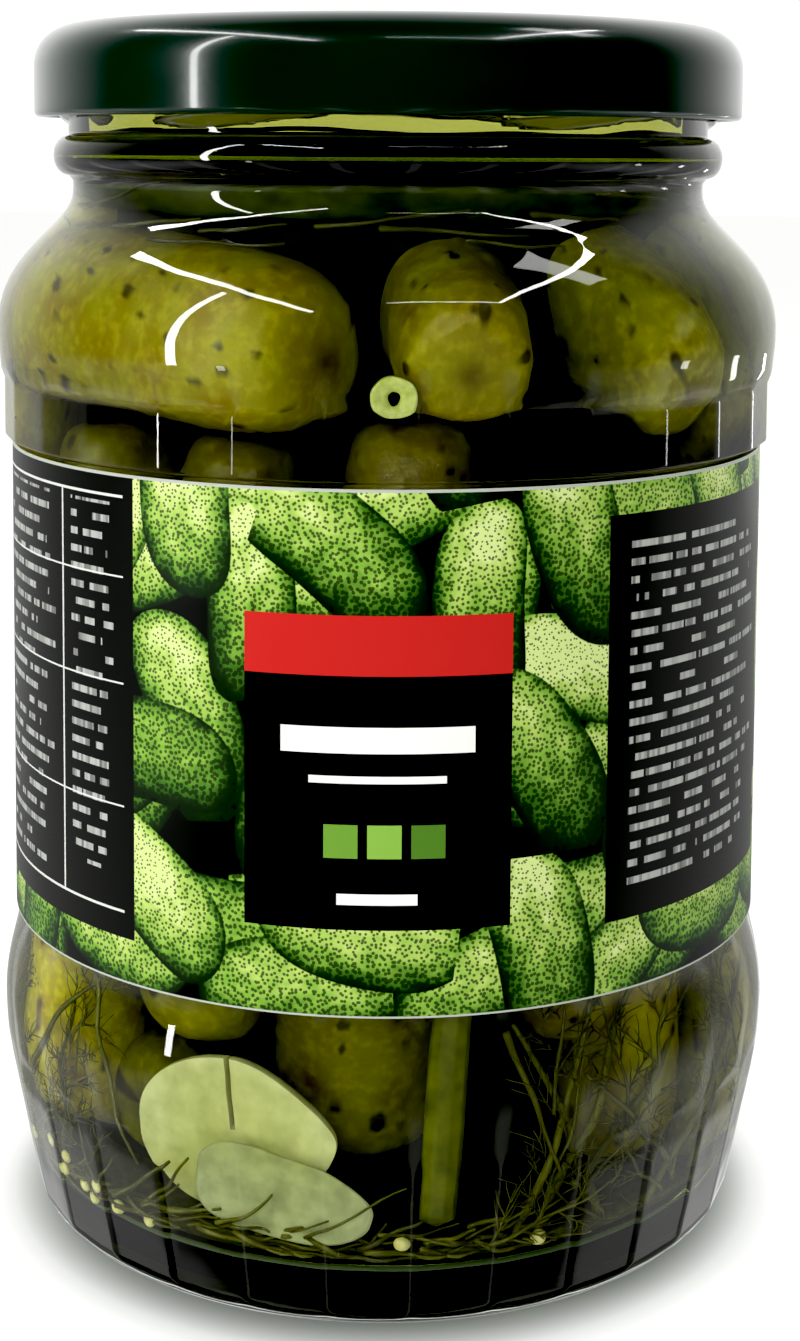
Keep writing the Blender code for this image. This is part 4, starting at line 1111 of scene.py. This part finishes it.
def make_dill():
    """Dill: stems, fronds whose fine threads fan out from their axes, short bits in the bed, and dark
    strands that float in the neck."""
    draw = random.Random(SEED + 1)
    skins = Skins("tone")

    def strand(azimuth, height, heading, length, off, thick, bow, steps):
        """Path and radii of a tapered strand that follows the wall. Its heading is in degrees from
        straight up, and bow is how far it turns on its way."""
        path, step = [], length / steps
        a, z = azimuth, height
        for i in range(steps + 1):
            here = float(np.clip(z, *DILL_SPAN))
            path.append(on_wall(a, here, off + 0.0006 * math.sin(i * 1.1 + azimuth)))
            heading += bow / steps
            a += math.degrees(step * math.sin(math.radians(heading)) / 0.042)
            z += step * math.cos(math.radians(heading))
        return path, [thick * (1.0 - 0.55 * i / steps) for i in range(steps + 1)]

    def add(path, radii, sides, tone):
        """Adds the skin of one strand."""
        points, faces = tube(path, radii, sides)
        skins.add(points, faces, tone=tone)

    def loose(azimuth, height, heading, length, off, thick, bow, steps, sides, tone):
        """Adds a strand with values drawn from (low, high) ranges."""
        drawn = [draw.uniform(*span) for span in (height, heading, length, off, thick, bow)]
        add(*strand(azimuth, *drawn, steps), sides, draw.uniform(*tone))

    def frond(azimuth, height, heading, length, off, tone):
        """Adds an axis, twigs to both sides of it, and hairs that fan out from each twig."""
        count = max(4, int(length / 0.0022))
        path, radii = strand(azimuth, height, heading, length, off, 0.00028, draw.uniform(-25, 25), 10)
        add(path, radii, 5, tone)
        for i in range(count):
            share = (i + 0.6) / count
            x, y, z = path[min(9, int(share * 10))]
            side = 1 if i % 2 else -1
            reach = 0.0075 * (1.0 - 0.55 * share) * draw.uniform(0.7, 1.1)
            turn = heading + side * draw.uniform(35, 60)
            twig, thin = strand(math.degrees(math.atan2(x, -y)), z, turn, reach, off, 0.00017,
                                draw.uniform(-20, 20), 4)
            add(twig, thin, 3, tone)
            for x, y, z in twig[1:4]:
                for fan in (-1, 1):
                    hair, fine = strand(math.degrees(math.atan2(x, -y)), z, turn + fan * draw.uniform(20, 42),
                                        reach * draw.uniform(0.35, 0.6), off, 0.00012,
                                        draw.uniform(-20, 20), 3)
                    add(hair, fine, 3, tone * draw.uniform(0.7, 1.1))

    for azimuth, height, heading, length, off, thick in DILL_STEMS:
        add(*strand(azimuth, height, heading, length, off, thick, draw.uniform(-14, 14), 12), 8,
            draw.uniform(0.4, 1.0))
    for index in range(20):
        loose(95 + index * 10.5 + draw.uniform(-4, 4), (0.009, 0.020), (-50, 50), (0.016, 0.030),
              (0.001, 0.003), (0.0003, 0.0007), (-20, 20), 10, 6, (0.3, 1.0))
    for azimuth, height, heading in FRONT_FRONDS:
        frond(azimuth + draw.uniform(-2, 2), height, heading, draw.uniform(0.013, 0.020),
              draw.uniform(0.0007, 0.0020), draw.uniform(0.2, 0.9))
    for index in range(26):
        frond(86 + index * 8.0, draw.uniform(0.0095, 0.026), draw.uniform(-70, 70),
              draw.uniform(0.012, 0.018), draw.uniform(0.0006, 0.0018), draw.uniform(0.2, 0.9))
    for index in range(130):
        azimuth = -84 + index * 1.22 + draw.uniform(-3, 3) if index < 90 else draw.uniform(80, 276)
        loose(azimuth, (0.0088, 0.0118), (45, 135), (0.005, 0.013), (0.0006, 0.0030),
              (0.00018, 0.00045), (-40, 40), 8, 5, (0.1, 1.2))
    for index in range(26):
        loose(index * 13.8 + draw.uniform(-4, 4), (0.1165, 0.1255), (72, 108), (0.010, 0.020),
              (0.0010, 0.0026), (0.0003, 0.0006), (-6, 6), 8, 5, (0.0, 0.25))
    for azimuth, height, heading in HIGH_SPRIGS:
        frond(azimuth, height, heading, 0.008, 0.0007, 0.8)
    return finish(skins.build("dill", brined_dill()), "stem")


def make_mustard():
    """Mustard seeds on the bed and in the corners."""
    draw = random.Random(SEED + 2)
    skins = Skins()
    ball = bmesh.new()
    bmesh.ops.create_icosphere(ball, subdivisions=3, radius=1.0)
    unit = np.array([v.co for v in ball.verts])
    faces = [tuple(v.index for v in f.verts) for f in ball.faces]
    ball.free()
    spots = list(FRONT_SEEDS)
    for index in range(26):
        spots.append((75 + index * 8.6 + draw.uniform(-3, 3), draw.uniform(0.0085, 0.0120)))
    for azimuth, height in spots:
        radius = MUSTARD_RADIUS * draw.uniform(0.9, 1.08)
        centre = on_wall(azimuth, height, radius + 0.0004)
        stretch = np.array([draw.uniform(0.94, 1.05) for _ in range(3)])
        skins.add(unit * radius * stretch + centre, faces)
        # One draw more, unused, so that the next seeds keep their sizes.
        draw.uniform(0, 1)
    # Hulls of mustard: cream yellow and matt, with fine pits.
    seeds = plain_flesh("mustard_hulls", "c9bd78", "e6dda6", 0.9, 0.4, 0.02)
    return finish(skins.build("mustard_seeds", seeds), "stem")


def make_label():
    """Printed paper band, with one end lapped over the other at the back."""
    columns, rows = 260, 24
    start, end = LAP[0] - 360.0, LAP[1]
    low, high = LABEL
    points, places, faces = [], [], []
    for side in (0, 1):
        for i in range(rows + 1):
            for j in range(columns + 1):
                azimuth = start + (end - start) * j / columns
                lifted = float(smooth_step(LAP[0] - 2.0, LAP[0] - 0.5, azimuth)) * (PAPER + 0.00004)
                radius = LABEL_RADIUS + side * PAPER + lifted
                up = (high - low) * i / rows
                points.append(round_point(azimuth, radius, low + up))
                places.append((math.radians(azimuth) * LABEL_RADIUS / MM, up / MM, 0.0))
    width = columns + 1
    skin = (rows + 1) * width
    for i in range(rows):
        for j in range(columns):
            a = i * width + j
            faces.append((a, a + 1, a + 1 + width, a + width))
            faces.append((skin + a, skin + a + width, skin + a + 1 + width, skin + a + 1))
    for j in range(columns):
        faces.append((j, skin + j, skin + j + 1, j + 1))
        a = rows * width + j
        faces.append((a, a + 1, skin + a + 1, skin + a))
    for i in range(rows):
        a = i * width
        faces.append((a, a + width, skin + a + width, skin + a))
        b = a + columns
        faces.append((b, skin + b, skin + b + width, b + width))
    mesh = bpy.data.meshes.new("paper_label")
    mesh.from_pydata(points, [], faces)
    place = mesh.attributes.new("print_place", "FLOAT_VECTOR", "POINT")
    place.data.foreach_set("vector", np.array(places, np.float32).ravel())
    mesh.shade_smooth()
    mesh.set_sharp_from_angle(angle=math.radians(40))
    label = bpy.data.objects.new("paper_label", mesh)
    bpy.context.scene.collection.objects.link(label)
    mesh.materials.append(printed_label_paper())
    # Uncoated back and edges: off-white and matt.
    mesh.materials.append(plain_flesh("bare_label_paper", "e4e4dc", "efefe9", 0.4, 0.7, 0.02))
    shape = bmesh.new()
    shape.from_mesh(mesh)
    bmesh.ops.recalc_face_normals(shape, faces=shape.faces)
    for face in shape.faces:
        facing = face.normal.xy.dot(face.calc_center_median().xy.normalized())
        face.material_index = 0 if facing > 0.5 else 1
    shape.to_mesh(mesh)
    shape.free()
    return finish(label, "printed_paper", "label")


def rectangle(tree, place, left, foot, right, top):
    """Mask of a printed rectangle between its sides in mm."""
    centre = ((left + right) / 2, (foot + top) / 2, 0.0)
    half = ((right - left) / 2, (top - foot) / 2, 1.0)
    local = node(tree, "ShaderNodeMapping", {"Vector": place, "Location": centre, "Scale": half},
                 vector_type="TEXTURE")
    sides = node(tree, "ShaderNodeVectorMath", {0: local}, operation="ABSOLUTE")
    across, up, _ = node(tree, "ShaderNodeSeparateXYZ", {0: sides}).outputs
    far = node(tree, "ShaderNodeMath", {0: across, 1: up}, operation="MAXIMUM")
    return node(tree, "ShaderNodeMath", {0: far, 1: 1.0}, operation="LESS_THAN")


def printed_fruits(tree, place):
    """Pile of stippled green ovals on black, in layers of cells with one oval each."""
    speckle_mm, patch_mm = 0.52, 3.0
    grain = node(tree, "ShaderNodeTexVoronoi", {
        "Vector": place, "Scale": 1.0 / speckle_mm, "Randomness": 1.0}, voronoi_dimensions="2D")
    patches = node(tree, "ShaderNodeTexNoise", {"Vector": place, "Scale": 1.0 / patch_mm, "Detail": 4.0})
    printed = colour(PRINT_BLACK)
    for cell_mm, half, slim, shift in PRINT_LAYERS:
        moved = node(tree, "ShaderNodeVectorMath", {0: place, 1: (shift, shift * 0.7, 0.0)})
        cells = node(tree, "ShaderNodeTexVoronoi", {
            "Vector": moved, "Scale": 1.0 / cell_mm, "Randomness": PRINT_SCATTER}, voronoi_dimensions="2D")
        chance = node(tree, "ShaderNodeSeparateColor", {0: cells.outputs["Color"]}).outputs
        angle = node(tree, "ShaderNodeMath", {0: chance[0], 1: math.tau}, operation="MULTIPLY")
        local = node(tree, "ShaderNodeVectorMath", {0: moved, 1: cells.outputs["Position"]},
                     operation="SUBTRACT")
        leaning = node(tree, "ShaderNodeVectorRotate", {"Vector": local, "Angle": angle},
                       rotation_type="Z_AXIS")
        oval = node(tree, "ShaderNodeVectorMath", {0: leaning, 1: (half, slim, 1.0)}, operation="DIVIDE")
        # Edge: 0 in an oval's middle and 1 at its outline, bent a little and blunt at the ends.
        along, across, _ = node(tree, "ShaderNodeSeparateXYZ", {0: oval}).outputs
        squared = node(tree, "ShaderNodeMath", {0: along, 1: along}, operation="MULTIPLY")
        bent = node(tree, "ShaderNodeMath", {0: squared, 1: 0.30, 2: across}, operation="MULTIPLY_ADD")
        blunt = node(tree, "ShaderNodeMath", {0: squared, 1: squared}, operation="MULTIPLY")
        edge = node(tree, "ShaderNodeMath", {0: bent, 1: bent, 2: blunt}, operation="MULTIPLY_ADD")
        mask = node(tree, "ShaderNodeMapRange", {0: edge, 1: 1.02, 2: 0.98})
        # Shade: pale towards the top, dark at the outline, patchy, streaked, and by chance.
        up = node(tree, "ShaderNodeSeparateXYZ", {0: local}).outputs[1]
        outline = node(tree, "ShaderNodeMath", {0: edge, 1: edge}, operation="MULTIPLY")
        streaks = node(tree, "ShaderNodeTexNoise", {"Vector": oval, "Scale": 3.0, "Detail": 2.0})
        shade = 0.16
        for source, weight in ((up, 0.038), (outline, -0.62), (patches, 0.55), (streaks, 0.45),
                               (chance[1], 0.36)):
            shade = node(tree, "ShaderNodeMath", {0: source, 1: weight, 2: shade}, operation="MULTIPLY_ADD")
        green = node(tree, "ShaderNodeValToRGB", {0: shade})
        while len(green.color_ramp.elements) < len(PRINT_GREENS):
            green.color_ramp.elements.new(0.5)
        for element, (position, hexcode) in zip(green.color_ramp.elements, PRINT_GREENS):
            element.position = position
            element.color = colour(hexcode)
        # Stipple: larger dots where the fruit is dark.
        reach = node(tree, "ShaderNodeMath", {0: shade, 1: -0.40, 2: 0.64}, operation="MULTIPLY_ADD")
        dot = node(tree, "ShaderNodeMath", {0: grain.outputs["Distance"], 1: reach}, operation="LESS_THAN")
        dot = node(tree, "ShaderNodeMath", {0: dot, 1: 0.82}, operation="MULTIPLY")
        dotted = node(tree, "ShaderNodeMix", {0: dot, 6: green, 7: colour("0b2006")}, data_type="RGBA")
        printed = node(tree, "ShaderNodeMix", {0: mask, 6: printed, 7: dotted}, data_type="RGBA")
    return printed


def greeked_strokes(tree, across, up):
    """Ink of rows of broken strokes that stand for small print and spell nothing, and a chance for
    each row."""
    word_mm = 2.381
    lines = node(tree, "ShaderNodeMath", {0: up, 1: PRINT_LINE_MM}, operation="DIVIDE")
    share = node(tree, "ShaderNodeMath", {0: lines}, operation="FRACT")
    bar = node(tree, "ShaderNodeMath", {0: share, 1: 0.40}, operation="LESS_THAN")
    row = node(tree, "ShaderNodeMath", {0: lines}, operation="FLOOR")
    strokes = node(tree, "ShaderNodeMath", {0: across, 1: PRINT_STROKE_MM}, operation="DIVIDE")
    column = node(tree, "ShaderNodeMath", {0: strokes}, operation="FLOOR")
    cell = node(tree, "ShaderNodeCombineXYZ", {0: column, 1: row})
    weight = node(tree, "ShaderNodeTexWhiteNoise", {"Vector": cell}, noise_dimensions="2D")
    ink = node(tree, "ShaderNodeMapRange", {0: weight, 1: 0.0, 2: 0.7, 3: 0.30, 4: 1.0})
    drop = node(tree, "ShaderNodeMath", {0: row, 1: 5.37}, operation="MULTIPLY")
    spread = node(tree, "ShaderNodeCombineXYZ", {0: across, 1: drop})
    words = node(tree, "ShaderNodeTexNoise", {"Vector": spread, "Scale": 1.0 / word_mm, "Detail": 1.0},
                 noise_dimensions="2D")
    gaps = node(tree, "ShaderNodeMath", {0: words, 1: 0.43}, operation="GREATER_THAN")
    broken = node(tree, "ShaderNodeMath", {0: bar, 1: gaps}, operation="MULTIPLY")
    inked = node(tree, "ShaderNodeMath", {0: broken, 1: ink}, operation="MULTIPLY")
    return inked, node(tree, "ShaderNodeTexWhiteNoise", {"W": row}, noise_dimensions="1D")


def printed_label_paper():
    """Coated label paper, offset printed: stippled green fruits on black, with dark panels, coloured
    rules and greeked lines. The stipple is as fine as the render can show."""
    material, tree = new_material("printed_label_paper")
    fibre_mm = 0.333
    place = node(tree, "ShaderNodeAttribute", attribute_name="print_place").outputs["Vector"]
    across, up, _ = node(tree, "ShaderNodeSeparateXYZ", {0: place}).outputs
    printed = printed_fruits(tree, place)
    for sides in PRINT_PANELS:
        mask = rectangle(tree, place, *sides)
        printed = node(tree, "ShaderNodeMix", {0: mask, 6: printed, 7: colour(PRINT_BLACK)}, data_type="RGBA")
    inked, chance = greeked_strokes(tree, across, up)
    for left, foot, right, top in PRINT_LINES:
        mask = rectangle(tree, place, left, foot, right, top)
        end = node(tree, "ShaderNodeMath", {0: chance, 1: -0.30 * (right - left), 2: right},
                   operation="MULTIPLY_ADD")
        within = node(tree, "ShaderNodeMath", {0: across, 1: end}, operation="LESS_THAN")
        mask = node(tree, "ShaderNodeMath", {0: mask, 1: within}, operation="MULTIPLY")
        shown = node(tree, "ShaderNodeMath", {0: mask, 1: inked}, operation="MULTIPLY")
        printed = node(tree, "ShaderNodeMix", {0: shown, 6: printed, 7: colour("b0b3ad")}, data_type="RGBA")
    for *sides, hexcode in PRINT_RULES:
        mask = rectangle(tree, place, *sides)
        printed = node(tree, "ShaderNodeMix", {0: mask, 6: printed, 7: colour(hexcode)}, data_type="RGBA")
    # Bare paper shows at the cut edges.
    height = (LABEL[1] - LABEL[0]) / MM
    cut_top = node(tree, "ShaderNodeMath", {0: up, 1: height - CUT_TOP_MM}, operation="GREATER_THAN")
    cut_foot = node(tree, "ShaderNodeMath", {0: up, 1: CUT_FOOT_MM}, operation="LESS_THAN")
    cut = node(tree, "ShaderNodeMath", {0: cut_top, 1: cut_foot}, operation="MAXIMUM")
    printed = node(tree, "ShaderNodeMix", {0: cut, 6: printed, 7: colour("b4bab0")}, data_type="RGBA")
    fibre = node(tree, "ShaderNodeTexNoise", {"Vector": place, "Scale": 1.0 / fibre_mm, "Detail": 3.0})
    bump = node(tree, "ShaderNodeBump", {"Height": fibre, "Strength": 0.15, "Distance": 0.00003})
    gloss = node(tree, "ShaderNodeMapRange", {0: fibre, 3: 0.34, 4: 0.46})
    body = node(tree, "ShaderNodeBsdfPrincipled", {
        "Base Color": printed, "Roughness": gloss, "Specular IOR Level": 0.30, "Normal": bump})
    node(tree, "ShaderNodeOutputMaterial", {"Surface": body})
    return material


def make_camera():
    """Camera at the photograph's place and angle."""
    pitch, roll, yaw = (math.radians(a) for a in (CAMERA_PITCH, CAMERA_ROLL, CAMERA_YAW))
    forward = Vector((math.sin(yaw) * math.cos(pitch), math.cos(yaw) * math.cos(pitch), -math.sin(pitch)))
    level = Vector((math.cos(yaw), -math.sin(yaw), 0.0))
    up = level.cross(forward)
    right = level * math.cos(roll) + up * math.sin(roll)
    top = up * math.cos(roll) - level * math.sin(roll)
    data = bpy.data.cameras.new("photo_camera")
    data.sensor_width = SENSOR
    data.lens = FOCAL_PIXELS / PHOTO_HEIGHT * SENSOR
    data.shift_y = -(PHOTO_HEIGHT / 2 - HORIZON_ROW) / PHOTO_HEIGHT
    data.clip_start = 0.01
    camera = bpy.data.objects.new("photo_camera", data)
    turn = Matrix((right, top, -forward)).transposed().to_4x4()
    camera.matrix_world = Matrix.Translation(CAMERA_PLACE) @ turn
    bpy.context.scene.collection.objects.link(camera)
    bpy.context.scene.camera = camera


def add_light(name, place, size, power, mirrored):
    """Soft rectangular light that looks at the jar."""
    data = bpy.data.lights.new(name, "AREA")
    data.shape = "RECTANGLE"
    data.size, data.size_y = size
    data.energy = power
    light = bpy.data.objects.new(name, data)
    aim = Vector(LIGHT_TARGET) - Vector(place)
    light.matrix_world = Matrix.Translation(place) @ aim.to_track_quat("-Z", "Y").to_matrix().to_4x4()
    light.visible_glossy = mirrored
    bpy.context.scene.collection.objects.link(light)


def add_lamp(name, start, end, width, power):
    """Long thin lamp between two points, turned to the jar, that only gloss shows."""
    start, end = Vector(start), Vector(end)
    data = bpy.data.lights.new(name, "AREA")
    data.shape = "RECTANGLE"
    data.size, data.size_y = width, (end - start).length
    data.energy = power
    along = (end - start).normalized()
    back = ((start + end) / 2 - Vector(LAMP_TARGET)).normalized()
    back = (back - along * back.dot(along)).normalized()
    lamp = bpy.data.objects.new(name, data)
    turn = Matrix((along.cross(back), along, back)).transposed().to_4x4()
    lamp.matrix_world = Matrix.Translation((start + end) / 2) @ turn
    lamp.visible_diffuse = False
    bpy.context.scene.collection.objects.link(lamp)


def make_world():
    """White surroundings. The glass mirrors them bright behind the jar, black in front of it, and grey
    below at the sides, with faint stripes there that the lower facets catch one by one."""
    world = bpy.data.worlds.new("studio")
    bpy.context.scene.world = world
    world.use_nodes = True
    tree = world.node_tree
    tree.nodes.clear()
    direction = node(tree, "ShaderNodeTexCoord").outputs["Generated"]
    x, y, z = node(tree, "ShaderNodeSeparateXYZ", {0: direction}).outputs
    behind = node(tree, "ShaderNodeMapRange", {0: y, 1: 0.15, 2: 0.80, 3: 0.006, 4: 1.0})
    above = node(tree, "ShaderNodeMapRange", {0: z, 1: -0.30, 2: 0.10, 3: 0.50, 4: 1.0})
    beside = node(tree, "ShaderNodeMath", {0: x}, operation="ABSOLUTE")
    beside = node(tree, "ShaderNodeMapRange", {0: beside, 1: 0.70, 2: 0.95, 4: 0.6})
    below = node(tree, "ShaderNodeMapRange", {0: z, 1: -0.10, 2: -0.40, 4: 1.3})
    forward = node(tree, "ShaderNodeMath", {0: y, 1: -1.0}, operation="MULTIPLY")
    azimuth = node(tree, "ShaderNodeMath", {0: x, 1: forward}, operation="ARCTAN2")
    azimuth = node(tree, "ShaderNodeMath", {0: azimuth}, operation="ABSOLUTE")
    right = node(tree, "ShaderNodeMath", {0: x, 1: 0.0}, operation="GREATER_THAN")
    turn = node(tree, "ShaderNodeMath", {0: right, 1: -STRIPE_SHIFT, 2: azimuth}, operation="MULTIPLY_ADD")
    turn = node(tree, "ShaderNodeMath", {0: turn, 1: STRIPE_START}, operation="SUBTRACT")
    turn = node(tree, "ShaderNodeMath", {0: turn, 1: math.tau / STRIPE_STEP}, operation="MULTIPLY")
    stripes = node(tree, "ShaderNodeMath", {0: turn}, operation="COSINE")
    stripes = node(tree, "ShaderNodeMapRange", {0: stripes, 1: 0.60, 2: 0.95, 4: 0.35})
    level = node(tree, "ShaderNodeMath", {0: behind, 1: above}, operation="MULTIPLY")
    level = node(tree, "ShaderNodeMath", {0: below, 1: beside, 2: level}, operation="MULTIPLY_ADD")
    level = node(tree, "ShaderNodeMath", {0: below, 1: stripes, 2: level}, operation="MULTIPLY_ADD")
    seen = node(tree, "ShaderNodeLightPath").outputs["Is Camera Ray"]
    strength = node(tree, "ShaderNodeMix", {0: seen, 2: level, 3: 1.0})
    back = node(tree, "ShaderNodeBackground", {"Color": colour("fcfdfb"), "Strength": strength})
    node(tree, "ShaderNodeOutputWorld", {"Surface": back})


def make_lights():
    """Soft lights that the glass doesn't mirror, a panel that it does, and lamps for its highlights: a
    tall slit, tubes in a frame above, and short ones for the borders of the facets."""
    for name, values in SOFT_LIGHTS.items():
        add_light(name, *values, False)
    add_light("right_panel", *RIGHT_PANEL, True)
    for name, values in LAMPS.items():
        add_lamp(name, *values)
    for azimuth in GLINTS:
        foot, top = (round_point(azimuth, GLINT_RADIUS, height) for height in GLINT_HEIGHTS)
        add_lamp("glint_%d" % azimuth, foot, top, GLINT_WIDTH, GLINT_POWER)


def set_tones():
    """Plain display colours, with the deep blacks of the photograph's contrast."""
    view = bpy.context.scene.view_settings
    view.view_transform = "Standard"
    view.use_curve_mapping = True
    view.curve_mapping.black_level = (0.012, 0.012, 0.012)
    view.curve_mapping.white_level = (0.85, 0.85, 0.85)


make_camera()
make_world()
make_lights()
make_floor()
make_glass()
make_brine()
make_lid()
make_label()
make_core()
make_gherkins()
make_garlic()
make_stalk()
make_stem_ring()
make_dill()
make_mustard()
set_tones()
